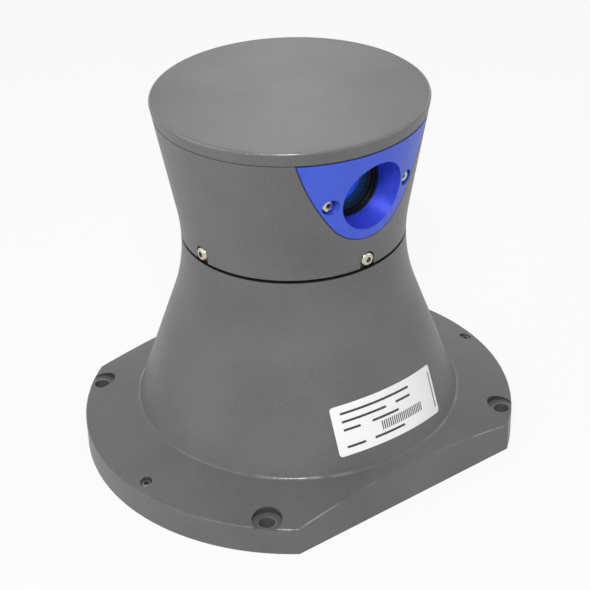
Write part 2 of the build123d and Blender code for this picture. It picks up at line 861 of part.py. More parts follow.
def rotor_hub():
    """Turned plate on the shaft; the shell, the bracket and the weight are screwed to it."""
    low_radius = waist_point(waist_angle(seam_height))[0] - wall - hub_running_gap
    bore = bearing_bore / 2 + fit_clearance
    groove = low_radius - seal_width
    hub = turned(
        (bore, hub_bottom), (groove, hub_bottom), (groove, hub_bottom + hub_lip),
        (low_radius, hub_bottom + hub_lip), (low_radius, head_bottom), (hub_rim_outer, head_bottom),
        (hub_rim_outer, rim_top), (hub_rim_inner, rim_top), (hub_rim_inner, hub_top), (bore, hub_top),
    )
    shaft_hole = Pos(hub_screw_circle / 2, 0, 0) * clear_hole(machine_screw_size, 0, rim_top)
    for place in around(shaft_hole, 4, 45):
        hub -= place
    thread = tapped(machine_screw_size, 0, rim_top)
    for azimuth in bracket_screw_azimuths():
        hub -= Rot(0, 0, azimuth) * Pos(bracket_screw_circle / 2, 0, 0) * thread
    for azimuth in weight_screw_azimuths():
        hub -= Rot(0, 0, azimuth) * Pos(weight_screw_radius(), 0, 0) * thread
    for place in around(neck_hole(neck_screw_size), neck_screw_count):
        hub -= place
    return facing(hub)


def neck_hole(diameter):
    """A radial hole at the height of the neck screws, towards +X."""
    return Pos(neck_pocket_floor - 2 * hub_rim_width, 0, neck_screw_height) * Rot(0, 90, 0) * Cylinder(
        diameter / 2, 3 * hub_rim_width, align=(Align.CENTER, Align.CENTER, Align.MIN)
    )


def hub_screws():
    piece = Pos(hub_screw_circle / 2, 0, hub_top) * button_screw(hub_thickness + collar_height - 1)
    return facing(joined(around(piece, 4, 45)))


def rotary_seal():
    """Rubber lip ring in the hub's groove, running just clear of the carrier's flange."""
    outer = waist_point(waist_angle(seam_height))[0] - wall - hub_running_gap
    inner = outer - seal_width
    lip = deck_top + seal_gap
    return turned(
        (inner, hub_bottom + hub_lip), (outer, hub_bottom + hub_lip), (outer, hub_bottom - 1),
        (outer - seal_width / 4, lip), (outer - seal_width / 2, lip), (inner + seal_width / 4, hub_bottom - 1),
        (inner, hub_bottom - 1),
    )


# Direct-drive motor: a fixed stator in its housing round magnets on the shaft.
def motor_housing():
    outer = housing_outside / 2
    bore = stator_outside / 2
    cup = turned(
        (bore, housing_bottom), (outer, housing_bottom), (outer, carrier_bottom),
        (housing_bore / 2, carrier_bottom), (housing_bore / 2, housing_web_bottom), (bore, housing_web_bottom),
    )
    web_hole = clear_hole(board_screw_size, housing_web_bottom - 1, carrier_bottom + 1)
    hole = Pos(housing_screw_circle / 2, 0, 0) * web_hole
    for place in around(hole, housing_screw_count):
        cup -= place
    foot_thread = tapped(board_screw_size, housing_bottom - 1, housing_bottom + housing_thread_depth + 1)
    for azimuth in bench_screw_azimuths():
        cup -= Rot(0, 0, azimuth) * Pos(bench_screw_circle / 2, 0, 0) * foot_thread
    return cup


def motor_housing_screws():
    body = small_screw(housing_web + housing_thread_depth)
    piece = Pos(housing_screw_circle / 2, 0, housing_web_bottom) * Rot(180, 0, 0) * body
    return joined(around(piece, housing_screw_count))


def tooth_box(width, inner, outer, bottom, top):
    """A block that reaches outwards along +X."""
    reaching_out = (Align.MIN, Align.CENTER, Align.MIN)
    return Pos(inner, 0, bottom) * Box(outer - inner, width, top - bottom, align=reaching_out)


def along_x(radius, start, end):
    """A cylinder along +X, between two distances from the scanner axis."""
    standing = (Align.CENTER, Align.CENTER, Align.MIN)
    return Pos(start, 0, 0) * Rot(0, 90, 0) * Cylinder(radius, end - start, align=standing)


def motor_stator():
    """Laminated ring with teeth that reach in to the air gap."""
    outer = stator_outside / 2
    inner = stator_bore / 2
    yoke = washer(outer - stator_yoke, outer - fit_clearance, stator_bottom, stator_top)
    tooth = tooth_box(tooth_width, inner, outer - stator_yoke + 1, stator_bottom, stator_top)
    teeth = around(tooth, stator_slots)
    shoes = washer(inner, inner + shoe_depth, stator_bottom, stator_top)
    gap = tooth_box(slot_opening, inner - 1, inner + shoe_depth + 1, stator_bottom, stator_top)
    for place in around(gap, stator_slots, 180 / stator_slots):
        shoes -= place
    return yoke + teeth + [shoes] - rod(stator_bore, 0, 2 * stator_top)


def motor_coils():
    """A wound coil round each tooth."""
    wide = tooth_width + 2 * coil_thickness
    inner = stator_bore / 2 + shoe_depth + slot_liner
    outer = math.sqrt((stator_outside / 2 - stator_yoke - slot_liner) ** 2 - (wide / 2) ** 2)
    coil = tooth_box(wide, inner, outer, stator_bottom - coil_overhang, stator_top + coil_overhang)
    low, high = stator_bottom - slot_liner, stator_top + slot_liner
    coil -= tooth_box(tooth_width + 2 * slot_liner, inner - 1, outer + 1, low, high)
    return joined(around(coil, stator_slots))


def magnet_sleeve():
    """Steel sleeve pressed on the shaft, with the magnets round it."""
    return washer(bearing_bore / 2 + fit_clearance, sleeve_outside / 2, sleeve_bottom, sleeve_top)


def rotor_magnets():
    ring = washer(sleeve_outside / 2, magnet_outside, sleeve_bottom + 1, sleeve_top - 1)
    gap_width = 2 * magnet_outside * math.sin(math.radians(magnet_gap_angle / 2))
    gap = tooth_box(gap_width, 1, magnet_outside + 1, sleeve_bottom, sleeve_top)
    for place in around(gap, magnet_count):
        ring -= place
    return ring


def encoder_disc():
    """Slotted code wheel with its own hub."""
    bore = bearing_bore / 2 + fit_clearance
    upper = code_disc_bottom + code_disc_thickness
    edge = code_disc_diameter / 2
    wheel = turned(
        (bore, code_disc_bottom), (edge, code_disc_bottom), (edge, upper), (code_hub_diameter / 2, upper),
        (code_hub_diameter / 2, code_disc_bottom + code_hub_height), (bore, code_disc_bottom + code_hub_height),
    )
    slot_end = edge - code_slot_edge
    slot = tooth_box(code_slot_width, slot_end - code_slot_length, slot_end, code_disc_bottom - 1, upper + 1)
    for place in around(slot, code_slot_count):
        wheel -= place
    return wheel


def encoder_reader():
    """Fork that looks through the code wheel's slots, fixed under the motor housing."""
    inner = code_disc_diameter / 2 - reader_depth
    outer = housing_outside / 2 - 1
    body = tooth_box(reader_width, inner, outer, reader_bottom, housing_bottom)
    body -= tooth_box(
        reader_width + 2, inner - 1, code_disc_diameter / 2 + 2 * reader_gap,
        code_disc_bottom - reader_gap, code_disc_bottom + code_disc_thickness + reader_gap,
    )
    return Rot(0, 0, 90) * body


# The optics bench hangs from the motor housing, so that laser and shaft stay in line.
def bench_screw_azimuths():
    return (-90, 0, 180)


def bench_side():
    """The part of the bench's round that is cut away beside the connector well."""
    return Pos(0, bench_cut, 0) * Box(
        2 * housing_outside, housing_outside, 4 * housing_bottom, align=(Align.CENTER, Align.MIN, Align.CENTER)
    )


def optics_bench():
    outer = housing_outside / 2
    inner = outer - bench_ring_width
    bench = washer(inner, outer, housing_bottom - bench_ring_height, housing_bottom)
    bench += rod(housing_outside, bench_bottom, bench_top)
    leg = tooth_box(bench_leg_width, inner, outer, bench_bottom, housing_bottom)
    round_limit = rod(housing_outside, bench_bottom, housing_bottom)
    for azimuth in bench_screw_azimuths():
        bench += (Rot(0, 0, azimuth) * leg) & round_limit
    bench -= bench_side()
    hole = Pos(bench_screw_circle / 2, 0, 0) * clear_hole(board_screw_size, 0, 2 * housing_bottom)
    for azimuth in bench_screw_azimuths():
        bench -= Rot(0, 0, azimuth) * hole
    return bench


def bench_screws():
    length = housing_bottom - bench_bottom + housing_thread_depth
    piece = Pos(bench_screw_circle / 2, 0, bench_bottom) * Rot(180, 0, 0) * small_screw(length)
    return joined([Rot(0, 0, azimuth) * piece for azimuth in bench_screw_azimuths()])


def optics_mount():
    """Block that holds the beam splitter on the axis and the laser beside it."""
    standing = (Align.CENTER, Align.CENTER, Align.MIN)
    height = splitter_top - splitter_proud - bench_top
    block = Pos(0, 0, bench_top) * Box(optics_block_width, optics_block_width, height, align=standing)
    grip_end = optics_block_width / 2 + laser_grip
    block += tooth_box(optics_block_width, 0, grip_end, bench_top, bench_top + height)
    pocket_width = splitter_size + 2 * fit_clearance
    pocket = Pos(0, 0, splitter_bottom) * Box(pocket_width, pocket_width, splitter_size + 1, align=standing)
    slot_height = board_thickness + detector_height + 1
    receiver_slot = Pos(0, 0, bench_top) * Box(2 * laser_length, splitter_size, slot_height, align=standing)
    laser_bore = Pos(0, 0, splitter_bottom + splitter_size / 2) * along_x(
        laser_diameter / 2 + fit_clearance, splitter_size / 2, splitter_size / 2 + 2 * laser_length
    )
    light_way = rod(splitter_size - 4, bench_top, splitter_bottom + 1)
    return block - pocket - receiver_slot - laser_bore - light_way


def laser_module():
    """Laser diode in its collimator barrel, with a stepped front."""
    radius = laser_diameter / 2
    front = radius - laser_front_step
    barrel = turned(
        (0, 0), (front, 0), (front, laser_front_length), (radius, laser_front_length),
        (radius, laser_length), (0, laser_length),
    )
    return Pos(splitter_size / 2 + 1, 0, splitter_bottom + splitter_size / 2) * Rot(0, 90, 0) * barrel


def beam_splitter():
    """Glass cube on the scanner axis."""
    return Pos(0, 0, splitter_bottom) * Box(
        splitter_size, splitter_size, splitter_size, align=(Align.CENTER, Align.CENTER, Align.MIN)
    )


def receiver_board():
    """Small board on the bench floor, under the splitter."""
    return Pos(-receiver_board_size / 2 + splitter_size / 2, 0, bench_top) * Box(
        receiver_board_size, splitter_size - 1, board_thickness, align=(Align.CENTER, Align.CENTER, Align.MIN)
    )


def photodetector():
    """Detector can with a domed window."""
    seat = bench_top + board_thickness
    return rod(detector_diameter, seat, seat + detector_height)


# The head shell is one casting with pockets at its neck and a notch for the insert.
def head_solid(inset, bottom, top):
    """The head's full round, inset from its skin, between two heights, with its seam at the back."""
    low_angle = waist_angle(bottom, inset)
    arc_end = waist_point(head_cone_angle, inset)
    low = (waist_point(low_angle, inset)[0], bottom)
    high = (head_cone_radius(top, inset), top)
    return Rot(0, 0, 180) * turned_edges(
        Line((0, bottom), low),
        ThreePointArc(low, waist_point((low_angle + head_cone_angle) / 2, inset), arc_end),
        Line(arc_end, high),
        Line(high, (0, top)),
        Line((0, top), (0, bottom)),
    )


def insert_outline(top):
    """Outline of the insert seen from the front: a round foot with sides that open upwards."""
    turn = math.radians(insert_arc_turn)
    foot_x = insert_arc_radius * math.sin(turn)
    foot_z = insert_arc_height - insert_arc_radius * math.cos(turn)
    half_top = insert_top_width / 2
    right = TangentArc((foot_x, foot_z), (half_top, top), tangent=(math.cos(turn), math.sin(turn)))
    foot = ThreePointArc((-foot_x, foot_z), (0, insert_arc_height - insert_arc_radius), (foot_x, foot_z))
    left = TangentArc((-foot_x, foot_z), (-half_top, top), tangent=(-math.cos(turn), math.sin(turn)))
    return make_face([foot, right, Line((half_top, top), (-half_top, top)), left])


def insert_prism(grow):
    """The insert's outline carried outwards along +X, grown sideways by a gap."""
    outline = insert_outline(insert_top)
    if grow:
        outline = offset(outline, grow, kind=Kind.INTERSECTION)
    return extrude(Plane.YZ.offset(barrel_back) * outline, amount=flange_radius - barrel_back)


def neck_pocket():
    """U-shaped pocket round a neck screw, open at the shell's lower edge."""
    half = neck_pocket_width / 2
    low = head_bottom - 1 - neck_screw_height
    shape = Circle(half) + Rectangle(neck_pocket_width, -low, align=(Align.CENTER, Align.MAX))
    plane = Plane(origin=(neck_pocket_floor, 0, neck_screw_height), x_dir=(0, 1, 0), z_dir=(1, 0, 0))
    return extrude(plane * shape, amount=2 * wall)


def lug_places():
    """The cap screws stand at these angles from the front of the head."""
    return [Rot(0, 0, 45 + 360 * step / cap_screw_count) for step in range(cap_screw_count)]


def lug_top():
    """Where the shell's lugs meet the cap's bosses."""
    return cap_seam_height - lug_sink


def lug_block(bottom, top, reach):
    """A round lug with a web that reaches out to the wall."""
    middle = cap_screw_circle / 2
    lug = Pos(middle, 0, 0) * rod(lug_diameter, bottom, top)
    return lug + tooth_box(lug_diameter, middle, reach, bottom, top)


def head_shell():
    ledge_inner = hub_rim_outer - shell_ledge
    socket = hub_rim_outer + fit_clearance
    ledge_top = rim_top + shell_ledge_height
    cavity = head_solid(wall, ledge_top, cap_seam_height + 1)
    cavity += rod(2 * ledge_inner, rim_top - 1, ledge_top + 1)
    cavity += rod(2 * socket, head_bottom - 1, rim_top)
    skin = head_solid(0, head_bottom, cap_seam_height)
    shell = skin - cavity
    lug_bottom = lug_top() - lug_height
    lug = lug_block(lug_bottom, lug_top(), head_cone_radius(lug_bottom) - wall / 2)
    lug -= Pos(cap_screw_circle / 2, 0, 0) * clear_hole(cap_screw_size, 0, total_height)
    for place in lug_places():
        shell += place * lug
    shell -= insert_prism(insert_gap)
    seat = neck_pocket() + neck_hole(neck_screw_size + 2 * screw_hole_clearance)
    for place in around(seat, neck_screw_count):
        shell -= place
    return facing(shell)


def neck_screws():
    piece = Pos(neck_pocket_floor, 0, neck_screw_height) * Rot(0, 90, 0) * screw(
        neck_screw_size, neck_screw_length, neck_head_diameter, neck_head_height
    )
    return facing(joined(around(piece, neck_screw_count)))


def head_cap():
    """Turned lid that carries the cone on, with a spigot and screw bosses below."""
    lower = head_cone_radius(cap_bottom)
    upper = head_cone_radius(total_height)
    plate_bottom = total_height - cap_plate
    spigot_bottom = lug_top()
    spigot_outer = head_cone_radius(spigot_bottom, wall) - cover_clearance
    spigot_inner = spigot_outer - cap_spigot_width
    section = Polygon(
        (0, plate_bottom), (spigot_inner, plate_bottom), (spigot_inner, spigot_bottom),
        (spigot_outer, spigot_bottom),
        (spigot_outer, cap_bottom), (lower - seam_chamfer, cap_bottom), (lower, cap_bottom + seam_chamfer),
        (upper, total_height), (0, total_height), align=None,
    )
    brim = section.vertices().sort_by_distance((upper, total_height, 0))[0]
    cap = revolve(Plane.XZ * fillet(brim, cap_edge_radius), Axis.Z)
    boss = Pos(cap_screw_circle / 2, 0, 0) * rod(lug_diameter, spigot_bottom, plate_bottom + 1)
    for place in lug_places():
        cap += place * boss
    thread = Pos(cap_screw_circle / 2, 0, 0) * tapped(cap_screw_size, 0, lug_top() + cap_screw_depth + 1)
    for place in lug_places():
        cap -= place * thread
    return facing(cap)


def cap_gasket():
    """Thin rubber ring that shows as the dark line under the cap."""
    outer = head_cone_radius(cap_seam_height) - 2 * seam_chamfer
    inner = head_cone_radius(cap_seam_height, wall)
    return washer(inner, outer, cap_seam_height, cap_bottom)


def cap_screws():
    """Screws from below through the shell's lugs, hidden inside the head."""
    body = button_screw(lug_height + cap_screw_depth)
    piece = Pos(cap_screw_circle / 2, 0, lug_top() - lug_height) * Rot(180, 0, 0) * body
    return facing(joined([place * piece for place in lug_places()]))


# The insert holds the lens in a barrel and is screwed to the bracket behind it.
def insert_screw_places():
    return [Pos(0, side * insert_screw_spacing / 2, insert_screw_height) for side in (-1, 1)]


def optics_insert():
    lens_line = Pos(0, 0, aperture_height)
    bottom = insert_arc_height - insert_arc_radius - 1
    insert = head_solid(0, bottom, insert_top) & insert_prism(0)
    hollow = head_solid(insert_skin, bottom - 1, insert_top + 1) - lens_line * along_x(
        barrel_radius, 0, flange_radius
    )
    for place in insert_screw_places():
        hollow -= place * along_x(insert_boss_diameter / 2, bracket_front, flange_radius)
    insert -= hollow
    face_reach = head_cone_radius(aperture_height)
    taper = (aperture_diameter - lens_bore_diameter) / 2 / (face_reach - lens_bore_mouth)
    bore_start = lens_bore_diameter / 2
    bore_end = bore_start + taper * (flange_radius - lens_bore_mouth)
    flare = turned(
        (0, lens_bore_mouth), (bore_start, lens_bore_mouth), (bore_end, flange_radius), (0, flange_radius)
    )
    insert -= lens_line * Rot(0, 90, 0) * flare
    insert -= lens_line * along_x(lens_bore_diameter / 2, lens_seat, lens_bore_mouth)
    insert -= lens_line * along_x(barrel_opening / 2, barrel_back - 1, lens_seat + 1)
    shank_hole = machine_screw_size / 2 + screw_hole_clearance
    for place in insert_screw_places():
        insert -= place * along_x(insert_pocket_diameter / 2, insert_pocket_floor, flange_radius)
        insert -= place * along_x(shank_hole, bracket_front - 1, flange_radius)
    return facing(insert)


def insert_gasket():
    """Rubber strip in the joint between the insert and the shell."""
    bottom = insert_arc_height - insert_arc_radius - 2 * insert_gap
    strip = insert_prism(insert_gap) - insert_prism(0)
    wall_zone = head_solid(seam_chamfer * 2, bottom, insert_top)
    wall_zone -= head_solid(insert_skin, bottom - 1, insert_top + 1)
    return facing(strip & wall_zone)


def insert_screws():
    body = screw(machine_screw_size, insert_screw_length, insert_head_diameter, insert_head_height, domed=False)
    body = Pos(insert_pocket_floor, 0, 0) * Rot(0, 90, 0) * body
    return facing(joined([place * body for place in insert_screw_places()]))


def lens_height(radius):
    """Height of the lens's domed front over its flat back."""
    return lens_thickness - lens_curve + math.sqrt(lens_curve ** 2 - radius ** 2)


def lens():
    """Lens with a flat back and a domed front, seated on its seal."""
    back = lens_seat + seal_thickness
    radius = lens_diameter / 2
    disc = turned_edges(
        Line((0, 0), (radius, 0)),
        Line((radius, 0), (radius, lens_height(radius))),
        ThreePointArc(
            (radius, lens_height(radius)), (radius / 2, lens_height(radius / 2)), (0, lens_thickness)
        ),
        Line((0, lens_thickness), (0, 0)),
    )
    return facing(Pos(back, 0, aperture_height) * Rot(0, 90, 0) * disc)


def lens_seal():
    """Flat rubber ring behind the lens."""
    ring = washer(barrel_opening / 2, lens_diameter / 2, 0, seal_thickness)
    return facing(Pos(lens_seat, 0, aperture_height) * Rot(0, 90, 0) * ring)


def lens_ring():
    """Black threaded ring that holds the lens, flared towards the front, with two key slots."""
    back = lens_seat + seal_thickness + lens_height(lens_ring_opening / 2) + fit_clearance
    depth = lens_bore_mouth - back
    outer = lens_bore_diameter / 2 - thread_clearance
    ring = turned(
        (lens_ring_opening / 2, 0), (outer, 0), (outer, depth), (lens_ring_mouth / 2, depth),
        (lens_ring_opening / 2, depth * 0.35),
    )
    slot = Pos(outer, 0, depth) * Box(2 * barrel_wall, key_slot_width, key_slot_depth)
    for place in around(slot, 2):
        ring -= place
    return facing(Pos(back, 0, aperture_height) * Rot(0, 90, 0) * ring)


# One casting carries the mirror at 45 degrees over the shaft and reaches out to the insert.
def bracket_screw_azimuths():
    return (bracket_screw_angle, 180 - bracket_screw_angle, 180 + bracket_screw_angle, -bracket_screw_angle)


def weight_screw_azimuths():
    return (180 - weight_screw_angle, 180 + weight_screw_angle)


def weight_screw_radius():
    return (weight_outside + weight_inside) / 4


def mirror_plane():
    """Plane of the mirror's front, at 45 degrees through the crossing of the two axes."""
    return Plane(origin=(0, 0, aperture_height), x_dir=(0, 1, 0), z_dir=(-1, 0, 1))


def optics_bracket():
    base = washer(bracket_base_opening / 2, bracket_base_radius, hub_top, bracket_top)
    seat_back = mirror_thickness + mirror_seat_thickness
    rise = mirror_seat_length / 2 / math.sqrt(2)
    lean = seat_back / math.sqrt(2)
    low_back = (-rise - lean, aperture_height - rise + lean)
    high_back = (rise - lean, aperture_height + rise + lean)
    half_nose = cheek_nose / 2
    cheek = Polygon(
        (low_back[0] + cheek_back_inset, bracket_top - 1), (cheek_foot, bracket_top - 1),
        (bracket_front, insert_screw_height - half_nose), (bracket_front, insert_screw_height + half_nose),
        (high_back[0] + cheek_back_inset, high_back[1]), high_back, low_back, align=None,
    )
    bracket = base
    for side in (-1, 1):
        inner = side * cheek_gap / 2
        bracket += extrude(Plane.XZ.offset(inner) * cheek, amount=side * cheek_thickness)
    seat = mirror_plane().offset(mirror_thickness) * Rectangle(cheek_gap + 2, mirror_seat_length)
    bracket += extrude(seat, amount=mirror_seat_thickness)
    for place in insert_screw_places():
        bracket -= place * along_x(
            machine_screw_size / 2, bracket_front - insert_screw_length, bracket_front + 1
        )
    hole = clear_hole(machine_screw_size, 0, bracket_top + 1)
    for azimuth in bracket_screw_azimuths():
        bracket -= Rot(0, 0, azimuth) * Pos(bracket_screw_circle / 2, 0, 0) * hole
    for azimuth in weight_screw_azimuths():
        bracket -= Rot(0, 0, azimuth) * Pos(weight_screw_radius(), 0, 0) * hole
    return facing(bracket)


def bracket_screws():
    body = button_screw(bracket_base_height + hub_thickness - 1)
    piece = Pos(bracket_screw_circle / 2, 0, bracket_top) * body
    return facing(joined([Rot(0, 0, azimuth) * piece for azimuth in bracket_screw_azimuths()]))


def folding_mirror():
    """Oval mirror whose outline is a round seen at 45 degrees."""
    oval = Ellipse(mirror_width / 2, mirror_width / math.sqrt(2))
    return facing(extrude(mirror_plane() * oval, amount=mirror_thickness))


def balance_weight():
    """Steel segment behind the mirror that balances the lens."""
    ring = washer(weight_inside / 2, weight_outside / 2, bracket_top, bracket_top + weight_height)
    half = math.radians(weight_span / 2)
    back = -weight_outside * math.cos(half)
    side = weight_outside * math.sin(half)
    wedge = Polygon((0, 0), (back, side), (back, -side), align=None)
    weight = ring & Pos(0, 0, bracket_top) * extrude(wedge, amount=weight_height)
    hole = Pos(weight_screw_radius(), 0, 0) * clear_hole(machine_screw_size, 0, total_height)
    for azimuth in weight_screw_azimuths():
        weight -= Rot(0, 0, azimuth) * hole
    return facing(weight)


def weight_screws():
    length = weight_height + bracket_base_height + hub_thickness - 2
    piece = Pos(weight_screw_radius(), 0, bracket_top + weight_height) * button_screw(length)
    return facing(joined([Rot(0, 0, azimuth) * piece for azimuth in weight_screw_azimuths()]))


pieces = {
    "base_housing": base_housing(),
    "levelling_screws": levelling_screws(),
    "bottom_cover": bottom_cover(),
    "cover_gasket": cover_gasket(),
    "cover_screws": cover_screws(),
    "power_connector": power_connector(),
    "data_connector": data_connector(),
    "connector_inserts": connector_inserts(),
    "connector_pins": connector_pins(),
    "connector_nuts": connector_nuts(),
    "main_board": main_board(),
    "board_components": board_components(),
    "board_standoffs": board_standoffs(),
    "board_screws": board_screws(),
    "bearing_carrier": bearing_carrier(),
    "carrier_screws": carrier_screws(),
    "upper_outer_ring": outer_ring(upper_bottom),
    "lower_outer_ring": outer_ring(lower_bottom),
    "upper_ball_set": ball_set(upper_bottom),
    "lower_ball_set": ball_set(lower_bottom),
    "upper_inner_ring": inner_ring(upper_bottom),
    "lower_inner_ring": inner_ring(lower_bottom),
    "preload_spring": preload_spring(),
    "hollow_shaft": hollow_shaft(),
    "bearing_nut": bearing_nut(),
    "rotor_hub": rotor_hub(),
    "hub_screws": hub_screws(),
    "rotary_seal": rotary_seal(),
    "motor_housing": motor_housing(),
    "motor_housing_screws": motor_housing_screws(),
    "motor_stator": motor_stator(),
    "motor_coils": motor_coils(),
    "magnet_sleeve": magnet_sleeve(),
    "rotor_magnets": rotor_magnets(),
    "encoder_disc": encoder_disc(),
    "encoder_reader": encoder_reader(),
    "optics_bench": optics_bench(),
    "bench_screws": bench_screws(),
    "optics_mount": optics_mount(),
    "laser_module": laser_module(),
    "beam_splitter": beam_splitter(),
    "receiver_board": receiver_board(),
    "photodetector": photodetector(),
    "head_shell": head_shell(),
    "neck_screws": neck_screws(),
    "head_cap": head_cap(),
    "cap_gasket": cap_gasket(),
    "cap_screws": cap_screws(),
    "optics_insert": optics_insert(),
    "insert_gasket": insert_gasket(),
    "insert_screws": insert_screws(),
    "lens": lens(),
    "lens_seal": lens_seal(),
    "lens_ring": lens_ring(),
    "optics_bracket": optics_bracket(),
    "bracket_screws": bracket_screws(),
    "folding_mirror": folding_mirror(),
    "balance_weight": balance_weight(),
    "weight_screws": weight_screws(),
}

os.makedirs("parts", exist_ok=True)
for name, piece in pieces.items():
    export_step(piece, f"parts/{name}.step")
print(len(pieces), "nodes written")
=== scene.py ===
import math

import bmesh
import bpy
from mathutils import Matrix, Vector


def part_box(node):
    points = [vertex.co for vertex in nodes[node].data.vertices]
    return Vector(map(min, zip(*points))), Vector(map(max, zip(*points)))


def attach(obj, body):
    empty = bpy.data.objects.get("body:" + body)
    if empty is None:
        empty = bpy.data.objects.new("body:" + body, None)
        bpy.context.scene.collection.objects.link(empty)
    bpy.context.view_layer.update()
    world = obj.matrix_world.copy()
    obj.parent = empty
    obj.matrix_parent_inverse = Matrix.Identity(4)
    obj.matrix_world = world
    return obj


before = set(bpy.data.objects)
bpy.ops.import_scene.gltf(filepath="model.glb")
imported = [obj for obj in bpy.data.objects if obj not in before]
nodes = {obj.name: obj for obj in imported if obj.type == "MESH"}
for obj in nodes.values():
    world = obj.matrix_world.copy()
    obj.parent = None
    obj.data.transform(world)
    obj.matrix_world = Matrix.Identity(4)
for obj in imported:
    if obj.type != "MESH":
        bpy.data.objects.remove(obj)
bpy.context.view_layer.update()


# Shaders: small functions that build the finishes of the pieces. All lengths are in metres and
# all places are in the scanner's own frame, so a finish stays with its piece as the head turns.
def linear(code):
    """An sRGB hex colour as the linear colour that a shader's socket takes."""
    parts = [int(code[start:start + 2], 16) / 255 for start in (0, 2, 4)]
    return [p / 12.92 if p <= 0.04045 else ((p + 0.055) / 1.055) ** 2.4 for p in parts] + [1.0]


def add(tree, kind, settings={}, inputs={}):
    """Adds one shader node, sets it up and links it; an input takes a value or another output."""
    node = tree.nodes.new("ShaderNode" + kind)
    for name, value in settings.items():
        setattr(node, name, value)
    return put(tree, node, inputs)


def put(tree, node, inputs):
    """Sets or links the inputs of a node that is there already."""
    for name, value in inputs.items():
        if isinstance(value, bpy.types.NodeSocket):
            tree.links.new(value, node.inputs[name])
        else:
            node.inputs[name].default_value = value
    return node


def worked(tree, operation, *values):
    """The result of one step of arithmetic on numbers."""
    return add(tree, "Math", {"operation": operation}, dict(enumerate(values))).outputs["Value"]


def vector_worked(tree, operation, *values):
    """The node that does one step of arithmetic on vectors."""
    return add(tree, "VectorMath", {"operation": operation}, dict(enumerate(values)))


def ranged(tree, value, source=(0.0, 1.0), target=(0.0, 1.0)):
    """A value that moves across the target while its input moves across the source."""
    return add(tree, "MapRange", inputs={
        "Value": value, "From Min": source[0], "From Max": source[1],
        "To Min": target[0], "To Max": target[1],
    }).outputs["Result"]


def mixed(tree, share, first, second):
    """A colour between two colours."""
    return add(tree, "Mix", {"data_type": "RGBA"}, {0: share, 6: first, 7: second}).outputs[2]


def on_piece(tree):
    """The place on the piece's surface."""
    return add(tree, "TexCoord").outputs["Object"]


def clouds(tree, place, size, detail):
    """Random clouds from 0 to 1 whose lumps are a given size across."""
    inputs = {"Vector": place, "Scale": 1 / size, "Detail": detail}
    return add(tree, "TexNoise", inputs=inputs).outputs["Fac"]


def ripples(tree, place, kind, axis, pitch, distortion=0.0):
    """Ripples from 0 to 1, one pitch apart: rings round an axis, or bands along it."""
    settings = {"wave_type": kind, kind.lower() + "_direction": axis}
    inputs = {"Vector": place, "Scale": math.pi / 10 / pitch, "Distortion": distortion}
    return add(tree, "TexWave", settings, inputs).outputs["Fac"]


def relief(tree, height, strength, depth):
    """The surface's normal over a relief of some depth."""
    inputs = {"Height": height, "Strength": strength, "Distance": depth}
    return add(tree, "Bump", inputs=inputs).outputs["Normal"]


def new_material(name):
    """A material with a Principled shader, its node tree and that shader."""
    material = bpy.data.materials.new(name)
    material.use_nodes = True
    return material, material.node_tree, material.node_tree.nodes["Principled BSDF"]


def finish(material, *names):
    """Gives CAD nodes their finish."""
    for name in names:
        nodes[name].material_slots[0].material = material


# The middle of a cloud's values lies between these two.
cloud_middle = (0.3, 0.7)


# Base: one hollow aluminium casting, flange, cone and deck in a piece, finished all over in a
# satin grey powder coat. The powder melts into close, low orange peel that breaks up the light.
# It draws thin and rubs light on the rims and the edges of the bolt holes, which are painted lighter
# there as wear and as painted highlight; the neck's rim is painted near black as painted shade in the
# gap.
base_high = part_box("base_housing")[1]
neck_height = base_high.z
flange_reach = base_high.x

# Upward share of the surface's direction halfway round an outer fillet, and how far it spreads
fillet_slope = 0.68
fillet_spread = 0.25

# Rims of the flats and mouths of the bolt holes, painted lighter: rubbed coat and a painted highlight
rubbed_and_highlight_colour = "8C8A85"
flange_corner = (0.075, 0.1, 0.0165)
corner_wear_and_highlight = 0.06
bolt_circle = flange_reach - 0.006
bolt_turns = (45, 135, 225, 315)
bolt_mouth_radius = 0.0045
bolt_mouth_height = 0.016
bolt_mouth_wear_and_glint = 0.0006

# Steep walls of the spot faces and of the levelling holes, painted darker as painted shade in the holes
painted_hole_shade_colour = "262422"
spot_face_radius = 0.0082
spot_face_height = 0.0178
spot_face_shade_reach = 0.0028
level_circle = flange_reach - 0.007
level_turns = (-172, -8)
level_mouth_radius = 0.0034
level_mouth_height = 0.0176
level_mouth_shade_reach = 0.0016

# The neck's rim, painted near black as painted shade in the gap
painted_neck_shade_colour = "161616"
waist_reach = 0.0624
waist_margin = 0.0004
neck_band = 0.012


def near(tree, distance, reach):
    """1 where a distance is small, falling to 0 at its reach."""
    return ranged(tree, distance, (reach, reach * 0.3))


def off_axis(tree, parts):
    """Distance from the vertical axis of coordinates that are already taken apart."""
    flat = add(tree, "CombineXYZ", inputs={"X": parts.outputs["X"], "Y": parts.outputs["Y"]})
    return vector_worked(tree, "LENGTH", flat.outputs["Vector"]).outputs["Value"]


def near_mouths(tree, place, circle, turns, radius, height, reach):
    """1 near the level rims of holes that stand round the flange, falling to 0 at a reach."""
    whole = 0.0
    for turn in map(math.radians, turns):
        centre = (circle * math.cos(turn), circle * math.sin(turn), height)
        moved = vector_worked(tree, "SUBTRACT", place, centre)
        parts = add(tree, "SeparateXYZ", inputs={"Vector": moved.outputs["Vector"]})
        off = worked(tree, "SUBTRACT", off_axis(tree, parts), radius)
        pair = add(tree, "CombineXYZ", inputs={"X": off, "Y": parts.outputs["Z"]})
        distance = vector_worked(tree, "LENGTH", pair.outputs["Vector"]).outputs["Value"]
        whole = worked(tree, "MAXIMUM", whole, near(tree, distance, reach))
    return whole


